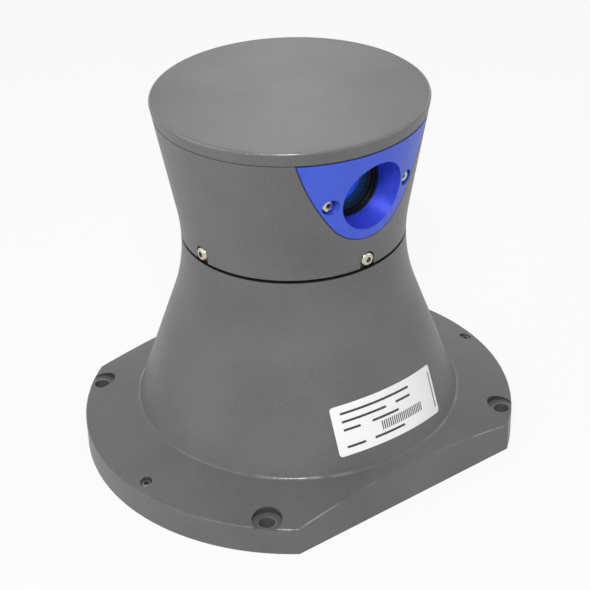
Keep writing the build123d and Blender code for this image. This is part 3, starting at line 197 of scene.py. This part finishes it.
def rubbed_and_highlit_edges(tree, place, rounded):
    """1 on the fillets at the ends of the flats and on the mouths of the bolt holes, where wear and a
    painted highlight lighten the coat.
    """
    mirrored = vector_worked(tree, "ABSOLUTE", place).outputs["Vector"]
    off_corner = vector_worked(tree, "DISTANCE", mirrored, flange_corner).outputs["Value"]
    rims = worked(tree, "MULTIPLY", rounded, near(tree, off_corner, corner_wear_and_highlight))
    mouths = near_mouths(
        tree, place, bolt_circle, bolt_turns, bolt_mouth_radius, bolt_mouth_height, bolt_mouth_wear_and_glint
    )
    return worked(tree, "MAXIMUM", rims, mouths)


def shaded_hole_walls(tree, place, upward):
    """Up to 0.7 on the steep walls of the spot faces and of the levelling holes, where shade is painted
    in.
    """
    spots = near_mouths(
        tree, place, bolt_circle, bolt_turns, spot_face_radius, spot_face_height, spot_face_shade_reach
    )
    holes = near_mouths(
        tree, place, level_circle, level_turns, level_mouth_radius, level_mouth_height, level_mouth_shade_reach
    )
    steep = ranged(tree, upward, (0.5, 0.1), (0.0, 0.7))
    return worked(tree, "MULTIPLY", worked(tree, "MAXIMUM", spots, holes), steep)


def neck_gap_shade(tree, parts):
    """1 inside the waist, at the height of the neck's rim, where the gap's shade is painted near black.
    """
    within = worked(tree, "LESS_THAN", off_axis(tree, parts), waist_reach - waist_margin)
    level = worked(tree, "COMPARE", parts.outputs["Z"], neck_height, neck_band)
    return worked(tree, "MULTIPLY", within, level)


def powder_coat(name, shade, light_shade):
    """Satin powder coat: orange peel about 1.3 mm across over a finer grain, and a slow drift of tone."""
    material, tree, shader = new_material(name)
    place = on_piece(tree)
    parts = add(tree, "SeparateXYZ", inputs={"Vector": place})
    normal = add(tree, "NewGeometry").outputs["Normal"]
    upward = add(tree, "SeparateXYZ", inputs={"Vector": normal}).outputs["Z"]
    rounded = worked(tree, "COMPARE", upward, fillet_slope, fillet_spread)

    peel = clouds(tree, place, 0.0013, 2.0)
    fine = clouds(tree, place, 0.0005, 1.0)
    speckle = ranged(tree, fine, cloud_middle)
    tone = worked(tree, "MULTIPLY_ADD", speckle, 0.55, clouds(tree, place, 0.05, 2.0))
    colour = add(tree, "ValToRGB", inputs={"Fac": tone})
    dark, light = colour.color_ramp.elements
    dark.position, light.position = 0.35, 1.1
    dark.color, light.color = linear(shade), linear(light_shade)

    # The rims and bolt mouths are painted lighter, partly as wear and partly as a painted highlight,
    # broken up in patches.
    patchy = ranged(tree, clouds(tree, place, 0.012, 6.0), (0.38, 0.56))
    bared_and_highlit = worked(tree, "MULTIPLY", rubbed_and_highlit_edges(tree, place, rounded), patchy)
    rubbed_and_highlit = mixed(tree, bared_and_highlit, colour.outputs["Color"], linear(rubbed_and_highlight_colour))
    # Painted shade darkens the steep walls of the spot faces and levelling holes.
    hole_shaded = mixed(tree, shaded_hole_walls(tree, place, upward), rubbed_and_highlit, linear(painted_hole_shade_colour))
    # Painted shade: the neck's rim inside the waist is painted near black, as the gap's shade.
    whole = mixed(tree, neck_gap_shade(tree, parts), hole_shaded, linear(painted_neck_shade_colour))

    satin = ranged(tree, peel, target=(0.36, 0.5))
    on_head = worked(tree, "GREATER_THAN", parts.outputs["Z"], neck_height)
    burnished = worked(tree, "MULTIPLY", rounded, on_head)
    height = worked(tree, "MULTIPLY_ADD", fine, 0.35, peel)
    put(tree, shader, {
        "Base Color": whole, "Roughness": worked(tree, "MULTIPLY_ADD", rounded, -0.27, satin),
        "Normal": relief(tree, height, 0.8, 0.0001), "IOR": 1.5,
        "Specular IOR Level": worked(tree, "MULTIPLY_ADD", burnished, 0.5, 0.5),
    })
    return material


grey_coat = powder_coat("grey_powder_coat", "525251", "666665")
finish(grey_coat, "base_housing")


# Levelling screws: two M6 set screws, dull zinc plated, wound into the flange from above. The other
# screws are stainless, cold headed and tumbled, so they are bright with soft, uneven reflections.
recess_reach = 0.0017


def plain_metal(name, colour, roughness, grain, unevenness=0.1, painted_recess_colour="2C2820"):
    """A metal as its forming left it: fine random grain and an uneven gloss; its recesses, found by
    occlusion, take a painted colour in place of their shade.
    """
    material, tree, shader = new_material(name)
    lumps = clouds(tree, on_piece(tree), grain, 3.0)
    gloss = ranged(tree, lumps, cloud_middle, (roughness - unevenness, roughness + unevenness))
    # Where occlusion finds a recess, the colour turns to the painted recess colour and the metal turns
    # dull, standing in for the recess's shade.
    occluded = add(tree, "AmbientOcclusion", {"samples": 6, "only_local": True}, {"Distance": recess_reach})
    held = ranged(tree, occluded.outputs["AO"], (0.8, 0.5))
    put(tree, shader, {
        "Base Color": mixed(tree, held, linear(colour), linear(painted_recess_colour)),
        "Metallic": worked(tree, "SUBTRACT", 1.0, held),
        "Roughness": gloss, "Normal": relief(tree, lumps, 0.25, grain * 0.05),
    })
    return material


stainless = plain_metal("stainless_steel", "C2BDAE", 0.15, 0.0012, 0.06)
# The zinc's recess colour is light: a painted light in its socket.
grey_zinc = plain_metal("dull_zinc_plate", "82827A", 0.46, 0.0008, painted_recess_colour="A5A297")
finish(grey_zinc, "levelling_screws")


# Bearing carrier: a turned aluminium sleeve hung in the deck by six button-head screws. Turning
# leaves fine rings round the axis, about 0.3 mm apart on such a seat.
def turned_metal(name, colour, roughness, pitch):
    """Machined metal with turning rings round the scanner's axis, a feed's width apart."""
    material, tree, shader = new_material(name)
    place = on_piece(tree)
    rings = ripples(tree, place, "RINGS", "Z", pitch, 0.6)
    stain = clouds(tree, place, 0.012, 4.0)
    put(tree, shader, {
        "Base Color": linear(colour), "Metallic": 1.0,
        "Roughness": ranged(tree, stain, cloud_middle, (roughness - 0.06, roughness + 0.08)),
        "Normal": relief(tree, rings, 0.3, pitch * 0.04),
    })
    return material


bare_aluminium = turned_metal("machined_aluminium", "C9CBCC", 0.32, 0.0003)
finish(bare_aluminium, "bearing_carrier")
finish(stainless, "carrier_screws")


# Ball bearings: two thin ground and polished steel bearings with ribbon cages, and a disc
# spring of hardened strip that keeps them free of play.
bearing_steel = turned_metal("ground_bearing_steel", "B9BBBE", 0.16, 0.0001)
finish(bearing_steel, "upper_outer_ring", "lower_outer_ring", "upper_inner_ring", "lower_inner_ring")
finish(bearing_steel, "upper_ball_set", "lower_ball_set", "preload_spring")


# Shaft and hub: a ground steel tube with a slotted nut below, and a turned aluminium hub on its
# collar. A moulded nitrile lip in the hub's edge keeps dust out of the neck.
def rubber(name, colour):
    """Moulded nitrile rubber: dead matt and faintly mottled, with a soft sheen at a low angle."""
    material, tree, shader = new_material(name)
    mottle = clouds(tree, on_piece(tree), 0.0006, 3.0)
    put(tree, shader, {
        "Base Color": linear(colour), "Roughness": ranged(tree, mottle, target=(0.66, 0.84)),
        "Normal": relief(tree, mottle, 0.2, 0.00004), "IOR": 1.5, "Sheen Weight": 0.1,
    })
    return material


black_rubber = rubber("nitrile_rubber", "131314")
finish(bearing_steel, "hollow_shaft", "bearing_nut")
finish(bare_aluminium, "rotor_hub")
finish(stainless, "hub_screws")
finish(black_rubber, "rotary_seal")


# Motor: a stack of stamped and blued steel sheets wound with enamelled copper, in an aluminium
# cup. Nickel-plated magnets are glued to a steel sleeve that is pressed on the shaft.
def stacked(name, colour, roughness, pitch, groove):
    """Metal in layers along the axis: sheets of a core or turns of a winding, one pitch apart."""
    material, tree, shader = new_material(name)
    layers = ripples(tree, on_piece(tree), "BANDS", "Z", pitch, 0.3)
    colours = add(tree, "ValToRGB", inputs={"Fac": layers})
    low, high = colours.color_ramp.elements
    high.position = 0.5
    low.color, high.color = linear(groove), linear(colour)
    put(tree, shader, {
        "Base Color": colours.outputs["Color"], "Metallic": 1.0, "Roughness": roughness,
        "Normal": relief(tree, layers, 0.6, pitch * 0.2),
    })
    return material


core_steel = stacked("laminated_core_steel", "6E7278", 0.45, 0.0005, "2E3136")
copper_wire = stacked("enamelled_copper_wire", "B8602C", 0.3, 0.0006, "4A1E0C")
magnet_nickel = plain_metal("nickel_plated_magnet", "C4C2BA", 0.22, 0.0015)
finish(bare_aluminium, "motor_housing")
finish(stainless, "motor_housing_screws")
finish(core_steel, "motor_stator")
finish(copper_wire, "motor_coils")
finish(bearing_steel, "magnet_sleeve")
finish(magnet_nickel, "rotor_magnets")


# Angle encoder: an etched stainless code wheel on the shaft and a moulded glass-filled nylon
# fork that reads its slots. The nylon is black with a fine spark-eroded grain.
def moulded_plastic(name, colour, grain, roughness):
    """Injection-moulded plastic with the grain that spark erosion leaves in its mould."""
    material, tree, shader = new_material(name)
    lumps = clouds(tree, on_piece(tree), grain, 2.0)
    put(tree, shader, {
        "Base Color": linear(colour), "IOR": 1.53,
        "Roughness": ranged(tree, lumps, target=(roughness - 0.08, roughness + 0.08)),
        "Normal": relief(tree, lumps, 0.4, grain * 0.1),
    })
    return material


black_plastic = moulded_plastic("glass_filled_nylon", "222326", 0.0004, 0.5)
finish(stainless, "encoder_disc")
finish(black_plastic, "encoder_reader")


# Fixed laser optics: a milled bench and block, anodised dull black so that stray light dies in
# them, a laser diode in a brass barrel, a glass cube and a detector can on its small board.
def glass(name, colour, roughness):
    """Polished optical glass with the faintest haze."""
    material, tree, shader = new_material(name)
    haze = clouds(tree, on_piece(tree), 0.004, 4.0)
    put(tree, shader, {
        "Base Color": linear(colour), "IOR": 1.52, "Transmission Weight": 1.0,
        "Roughness": ranged(tree, haze, (0.45, 0.8), (roughness, roughness + 0.05)),
    })
    return material


def circuit_board(name, mask, track):
    """Glass-epoxy board under a green solder mask that shows the copper tracks as lighter lines."""
    material, tree, shader = new_material(name)
    tracks = add(tree, "TexBrick", inputs={
        "Vector": on_piece(tree), "Scale": 1.0, "Brick Width": 0.0046, "Row Height": 0.0013,
        "Color1": linear(mask), "Color2": linear(mask), "Mortar": linear(track),
        "Mortar Size": 0.00018, "Mortar Smooth": 0.1,
    })
    height = worked(tree, "SUBTRACT", 1.0, tracks.outputs["Fac"])
    put(tree, shader, {
        "Base Color": tracks.outputs["Color"], "Roughness": 0.28, "IOR": 1.55,
        "Normal": relief(tree, height, 0.3, 0.00003),
    })
    return material


black_anodised = plain_metal("black_anodised_aluminium", "2A2A2C", 0.5, 0.0006, 0.08)
clear_glass = glass("optical_glass", "F4F8F8", 0.01)
green_board = circuit_board("green_circuit_board", "1D5A35", "2F7A4A")
nickel_brass = turned_metal("nickel_plated_brass", "C9C0A4", 0.24, 0.0004)
finish(black_anodised, "optics_bench", "optics_mount")
finish(stainless, "bench_screws")
finish(nickel_brass, "laser_module", "photodetector")
finish(clear_glass, "beam_splitter")
finish(green_board, "receiver_board")


# Electronics: a ring-shaped board on four hexagon pillars from the cover. Its chips, plug strips
# and capacitors are moulded in black epoxy and nylon.
finish(green_board, "main_board")
finish(black_plastic, "board_components")
finish(nickel_brass, "board_standoffs")
finish(stainless, "board_screws")


# Underside: a cast cover in the same grey coat, sealed by a flat rubber ring, with a well for two
# M12 connectors in nickel-plated brass. Their cores are black nylon round gold-plated contacts.
contact_gold = plain_metal("gold_plated_contact", "D9A441", 0.2, 0.0004, 0.05)
finish(grey_coat, "bottom_cover")
finish(black_rubber, "cover_gasket")
finish(stainless, "cover_screws")
finish(nickel_brass, "power_connector", "data_connector", "connector_nuts")
finish(black_plastic, "connector_inserts")
finish(contact_gold, "connector_pins")


# Head: a second casting in the same coat turns on the hub, held by four button-head screws that
# sit in U-shaped pockets. The cap is screwed on from inside over a thin rubber ring.
finish(grey_coat, "head_shell", "head_cap")
finish(stainless, "neck_screws", "cap_screws")
finish(black_rubber, "cap_gasket")


# Mirror: a flat glass oval, silvered on its front, on a black anodised bracket that also carries
# the insert. A bare steel segment behind it balances the lens.
def front_mirror(name, colour):
    """Front-silvered glass: almost all mirror, with the faintest haze of dust."""
    material, tree, shader = new_material(name)
    haze = clouds(tree, on_piece(tree), 0.002, 4.0)
    put(tree, shader, {
        "Base Color": linear(colour), "Metallic": 1.0,
        "Roughness": ranged(tree, haze, (0.5, 0.8), (0.01, 0.06)),
    })
    return material


silvered_glass = front_mirror("front_silvered_glass", "F2F4F5")
finish(silvered_glass, "folding_mirror")
finish(black_anodised, "optics_bracket")
finish(bearing_steel, "balance_weight")
finish(stainless, "bracket_screws", "weight_screws")


# Optics insert: milled aluminium, blasted and anodised blue, with a bore that is turned last and
# stays glossier. Dye sits in the oxide, so the metal shines through as a coloured reflection.
lens_low, lens_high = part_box("lens")
lens_middle = (lens_low + lens_high) / 2
aperture_height = lens_middle.z
head_turn = math.atan2(lens_middle.y, lens_middle.x)
bore_reach = 0.0199
rim_ring_reach = 0.0149


def lens_line(tree):
    """Coordinates with x along the middle line of the bore."""
    return add(tree, "Mapping", {"vector_type": "TEXTURE"}, {
        "Vector": on_piece(tree), "Location": (0, 0, aperture_height), "Rotation": (0, 0, head_turn),
    }).outputs["Vector"]


def off_line(tree, centred):
    """Distance from the middle line of the bore."""
    across = vector_worked(tree, "MULTIPLY", centred, (0, 1, 1)).outputs["Vector"]
    return vector_worked(tree, "LENGTH", across).outputs["Value"]


def blue_anodised_aluminium(name, face, bore, pitch):
    """Blasted blue face; inside the bore the blue is deeper and glossier, with turning rings."""
    material, tree, shader = new_material(name)
    place, centred = on_piece(tree), lens_line(tree)
    inside = ranged(tree, off_line(tree, centred), (bore_reach, bore_reach - 0.0002))

    torn = clouds(tree, place, 0.0022, 1.0)
    blast = clouds(tree, place, 0.0009, 1.0)
    drift = clouds(tree, place, 0.015, 2.0)
    mottle = ranged(tree, torn, cloud_middle, (-0.07, 0.07))
    depth = ranged(tree, inside, target=(0.5, 1.0))
    speckle = ranged(tree, blast, cloud_middle, (-0.07, 0.07))
    even = worked(tree, "ADD", speckle, ranged(tree, drift, target=(0.92, 1.08)))
    shade = add(tree, "HueSaturation", inputs={
        "Color": mixed(tree, inside, linear(face), linear(bore)),
        "Value": worked(tree, "MULTIPLY_ADD", mottle, depth, even),
    })

    rings = ripples(tree, centred, "BANDS", "X", pitch, 0.4)
    rough = worked(tree, "MULTIPLY_ADD", torn, 2.0, rings)
    height = add(tree, "Mix", inputs={0: inside, 2: clouds(tree, place, 0.0005, 2.0), 3: rough})
    put(tree, shader, {
        "Base Color": shade.outputs["Color"], "Metallic": ranged(tree, inside, target=(0.2, 0.3)),
        "Roughness": ranged(tree, inside, target=(0.42, 0.36)),
        "Normal": relief(tree, height.outputs[0], 0.8, 0.0001),
    })
    return material


def coated_lens(name, coat, reflection, painted_rim_reflection, edge_reach):
    """Glass under a blue coating with fine streaks from wiping, and a thin lighter ring near its rim, a
    painted reflection of its bevel.
    """
    material, tree, shader = new_material(name)
    centred = lens_line(tree)
    rim_reflection_share = worked(tree, "COMPARE", off_line(tree, centred), edge_reach, 0.0002)
    wiped = add(tree, "Mapping", {"vector_type": "TEXTURE"}, {
        "Vector": centred, "Rotation": (math.radians(35), 0, 0), "Scale": (1, 6, 1),
    })
    streaks = clouds(tree, wiped.outputs["Vector"], 0.0012, 3.0)
    shade = add(tree, "HueSaturation", inputs={
        "Color": linear(coat), "Value": ranged(tree, streaks, cloud_middle, (0.8, 1.15)),
    })
    put(tree, shader, {
        # The thin lighter ring near the lens's rim is a painted reflection.
        "Base Color": mixed(tree, rim_reflection_share, shade.outputs["Color"], linear(painted_rim_reflection)),
        "Roughness": ranged(tree, streaks, target=(0.0, 0.14)), "IOR": 1.52, "Metallic": 0.7,
        "Transmission Weight": 0.5, "Specular Tint": linear(reflection),
    })
    return material


def turned_black(name, groove, crest_highlight, pitch):
    """Black anodised ring with stepped turning round the lens, whose crests are painted lighter as
    painted highlights on the steps.
    """
    material, tree, shader = new_material(name)
    steps = ripples(tree, lens_line(tree), "RINGS", "X", pitch)
    colours = add(tree, "ValToRGB", inputs={"Fac": steps})
    low, high = colours.color_ramp.elements
    low.position = 0.6
    # The lighter crests are painted highlights of the steps' edges.
    low.color, high.color = linear(groove), linear(crest_highlight)
    put(tree, shader, {
        "Base Color": colours.outputs["Color"], "Roughness": 0.4, "Specular IOR Level": 0.15,
        "Normal": relief(tree, steps, 0.8, 0.0002),
    })
    return material


blue_aluminium = blue_anodised_aluminium("blue_anodised_aluminium", "3C57CE", "3E50E0", 0.0004)
coated_glass = coated_lens("coated_lens_glass", "7CC8FF", "7FA0FF", "B4C0D4", rim_ring_reach)
black_ring = turned_black("black_anodised_ring", "060608", "2E3034", 0.0007)
finish(blue_aluminium, "optics_insert")
finish(black_rubber, "insert_gasket", "lens_seal")
finish(stainless, "insert_screws")
finish(coated_glass, "lens")
finish(black_ring, "lens_ring")


# Label: a white polyester sticker, cut with rounded corners and rolled onto the cone. It is
# printed with plain ruled fields and an even bar field.
label_width = 0.0736
label_height = 0.0283
label_corner = 0.002
label_thickness = 0.00012
label_azimuth = math.radians(-88.3)
label_middle = 0.0494
label_tilt = math.radians(-1.2)
glue_thickness = 0.00002
ink_thickness = 0.00003
bend_step = 0.002

# Each rule's left end, right end and height on the label, from the label's middle
rules = (
    (-0.0315, 0.014, 0.0096), (-0.0315, -0.004, 0.0049), (0.003, 0.014, 0.0049),
    (-0.0315, -0.0215, 0.0002), (-0.014, 0.004, 0.0002), (-0.0315, -0.0205, -0.0095),
    (-0.0145, 0.006, -0.0095),
)
rule_thickness = 0.0013
bar_count = 22
bar_start = -0.0085
bar_height = -0.0045
bar_pitch = 0.0014
bar_width = 0.0007
bar_length = 0.005
side_rule_place = 0.0342
side_rule_width = 0.0008
side_rule_length = 0.021


def skin_radius(height):
    """Distance from the scanner's axis to the outside of the base cone, past its flat facets."""
    reaches = []
    for step in range(24):
        out = Vector((math.cos(step / 24), math.sin(step / 24), 0))
        place = nodes["base_housing"].ray_cast(out + Vector((0, 0, height)), -out)[1]
        reaches.append(place.to_2d().length)
    return max(reaches)


cone_low = skin_radius(label_middle - label_height / 2)
cone_high = skin_radius(label_middle + label_height / 2)
cone_lean = math.atan((cone_low - cone_high) / label_height)
cone_reach = (cone_low + cone_high) / 2


def rolled_on(shape, lift):
    """Rolls a flat shape, drawn in metres about the label's middle, onto the base cone."""
    slant = (cone_reach + lift) / math.sin(cone_lean)
    for vertex in shape.verts:
        x, y, rise = Matrix.Rotation(label_tilt, 3, "Z") @ vertex.co
        length = math.hypot(x, slant - y)
        azimuth = label_azimuth + math.atan2(x, slant - y) / math.sin(cone_lean)
        radius = length * math.sin(cone_lean) + rise
        height = label_middle + (slant - length) * math.cos(cone_lean)
        vertex.co = (radius * math.cos(azimuth), radius * math.sin(azimuth), height)


def panel(shape, x, y, width, height):
    """Adds a flat rectangle, centred at x, y, and returns its corners."""
    corners = bmesh.ops.create_grid(shape, x_segments=1, y_segments=1, size=0.5)["verts"]
    bmesh.ops.scale(shape, verts=corners, vec=(width, height, 1))
    bmesh.ops.translate(shape, verts=corners, vec=(x, y, 0))
    return corners


def sliced(shape, reach, step):
    """Cuts a flat shape across every step, so that it can bend."""
    count = int(reach / step)
    for place in range(-count, count + 1):
        geometry = shape.verts[:] + shape.edges[:] + shape.faces[:]
        bmesh.ops.bisect_plane(shape, geom=geometry, plane_co=(place * step, 0, 0), plane_no=(1, 0, 0))


def piece(name, shape, material):
    """Makes an object of a finished shape."""
    mesh = bpy.data.meshes.new(name)
    shape.to_mesh(mesh)
    shape.free()
    mesh.materials.append(material)
    made = bpy.data.objects.new(name, mesh)
    bpy.context.scene.collection.objects.link(made)
    return made


def printed_film(name, colour, roughness):
    """Smooth coated film, with a trace of handling in its gloss."""
    material, tree, shader = new_material(name)
    smear = clouds(tree, on_piece(tree), 0.01, 3.0)
    put(tree, shader, {
        "Base Color": linear(colour), "IOR": 1.6,
        "Roughness": ranged(tree, smear, target=(roughness - 0.1, roughness + 0.1)),
    })
    return material


white_film = printed_film("white_polyester_film", "F6F6F4", 0.4)
black_print = printed_film("thermal_transfer_print", "2B2B2B", 0.5)

sticker = bmesh.new()
corners = panel(sticker, 0, 0, label_width, label_height)
bmesh.ops.bevel(
    sticker, geom=corners, offset=label_corner, affect="VERTICES", segments=6, profile=0.5, material=-1
)
sliced(sticker, label_width / 2, bend_step)
rolled_on(sticker, glue_thickness)
bmesh.ops.solidify(sticker, geom=sticker.faces[:], thickness=-label_thickness)
bmesh.ops.recalc_face_normals(sticker, faces=sticker.faces[:])
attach(piece("label", sticker, white_film), "base")

print_shape = bmesh.new()
for left, right, height in rules:
    panel(print_shape, (left + right) / 2, height, right - left, rule_thickness)
for bar in range(bar_count):
    panel(print_shape, bar_start + bar * bar_pitch, bar_height, bar_width, bar_length)
panel(print_shape, side_rule_place, 0, side_rule_width, side_rule_length)
sliced(print_shape, label_width / 2, bend_step)
rolled_on(print_shape, glue_thickness + label_thickness + ink_thickness)
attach(piece("label_print", print_shape, black_print), "base")


# Studio: a white sweep and large soft lamps, as for a catalogue picture. The floor and the world
# look white to the camera and in reflections, and light the object only at a plain level.
plain_white = (1, 1, 1, 1)
floor_radius = 4.0
floor_drop = 0.0002
floor_white_share = 0.88
world_strength = 0.36


def white_seen(tree, strength):
    """The share of camera, mirror and glass rays that see plain white, times a strength."""
    path = add(tree, "LightPath")
    seen = path.outputs["Is Camera Ray"]
    for kind in ("Is Glossy Ray", "Is Transmission Ray"):
        seen = worked(tree, "MAXIMUM", seen, path.outputs[kind])
    return worked(tree, "MULTIPLY", seen, strength)


def blended(tree, share, first, second):
    """A shader between two shaders."""
    return add(tree, "MixShader", inputs={0: share, 1: first, 2: second}).outputs["Shader"]


floor_shape = bmesh.new()
bmesh.ops.create_circle(floor_shape, cap_ends=True, segments=96, radius=floor_radius)
floor_material, tree, shader = new_material("white_floor")
put(tree, shader, {"Base Color": linear("F2F2F2"), "Roughness": 0.9})
white = add(tree, "Emission", inputs={"Color": plain_white, "Strength": 1.0}).outputs["Emission"]
seen = blended(tree, white_seen(tree, floor_white_share), shader.outputs["BSDF"], white)
behind = add(tree, "NewGeometry").outputs["Backfacing"]
clear = add(tree, "BsdfTransparent").outputs["BSDF"]
put(tree, tree.nodes["Material Output"], {"Surface": blended(tree, behind, seen, clear)})
floor = piece("floor", floor_shape, floor_material)
floor.data.transform(Matrix.Translation((0, 0, -floor_drop)))

world = bpy.data.worlds.new("studio")
bpy.context.scene.world = world
world.use_nodes = True
tree = world.node_tree
dim = put(tree, tree.nodes["Background"], {"Color": linear("E8EAEC"), "Strength": world_strength})
bright = add(tree, "Background", inputs={"Color": plain_white, "Strength": 1.0})
both = blended(tree, white_seen(tree, 1.0), dim.outputs["Background"], bright.outputs["Background"])
put(tree, tree.nodes["World Output"], {"Surface": both})


def outward(azimuth, elevation):
    """The direction from the scanner at an azimuth and an elevation, in degrees."""
    turn, rise = math.radians(azimuth), math.radians(elevation)
    return Vector((math.cos(turn) * math.cos(rise), math.sin(turn) * math.cos(rise), math.sin(rise)))


def lamp(name, place, facing, width, length, power):
    """A soft box that stands at a place and faces a direction, with a width, a length and watts."""
    light = bpy.data.lights.new(name, "AREA")
    light.shape = "RECTANGLE"
    light.size, light.size_y = width, length
    light.energy = power
    holder = bpy.data.objects.new(name, light)
    bpy.context.scene.collection.objects.link(holder)
    holder.location = place
    holder.rotation_mode = "QUATERNION"
    holder.rotation_quaternion = facing.to_track_quat("-Z", "Y")


# Three boxes stand round the scanner and face its middle. A long strip hangs close over the head
# and lights the middle of the cap more than its sides.
scanner_middle = Vector((0, 0, 0.1))
box_distance = 1.6
soft_boxes = (
    ("left_box", 165, 18, 1.2, 1.2, 4.6),
    ("right_box", -40, 18, 1.0, 1.0, 1.2),
    ("front_box", -130, 45, 0.5, 0.3, 16.4),
)
for name, azimuth, elevation, width, length, power in soft_boxes:
    away = outward(azimuth, elevation)
    lamp(name, scanner_middle + away * box_distance, -away, width, length, power)
strip_azimuth = 54
strip_reach = 0.14
strip_height = 0.36
strip_place = outward(strip_azimuth, 0) * strip_reach + Vector((0, 0, strip_height))
lamp("top_strip", strip_place, -outward(strip_azimuth, 89), 0.1, 0.4, 0.205)


# Camera: a long lens about a metre away, looking down on the scanner past its near flat. It is
# tipped and rolled a little, as it was held.
camera_azimuth = -126.06
camera_elevation = 32.38
camera_distance = 0.9607
camera_aim = Vector((0, 0, 0.0625))
camera_length = 101.66
camera_turn = math.radians(0.016)
camera_tip = math.radians(1.171)
camera_roll = math.radians(-1.659)

away = outward(camera_azimuth, camera_elevation)
aimed = (-away).to_track_quat("-Z", "Y").to_matrix()
held = (
    Matrix.Rotation(camera_turn, 3, "Y")
    @ Matrix.Rotation(camera_tip, 3, "X")
    @ Matrix.Rotation(camera_roll, 3, "Z")
)
camera = bpy.data.objects.new("camera", bpy.data.cameras.new("camera"))
bpy.context.scene.collection.objects.link(camera)
camera.data.lens = camera_length
camera.data.clip_start = 0.05
camera.location = camera_aim + away * camera_distance
camera.rotation_mode = "QUATERNION"
camera.rotation_quaternion = (aimed @ held).to_quaternion()
bpy.context.scene.camera = camera
bpy.context.scene.view_settings.view_transform = "Standard"
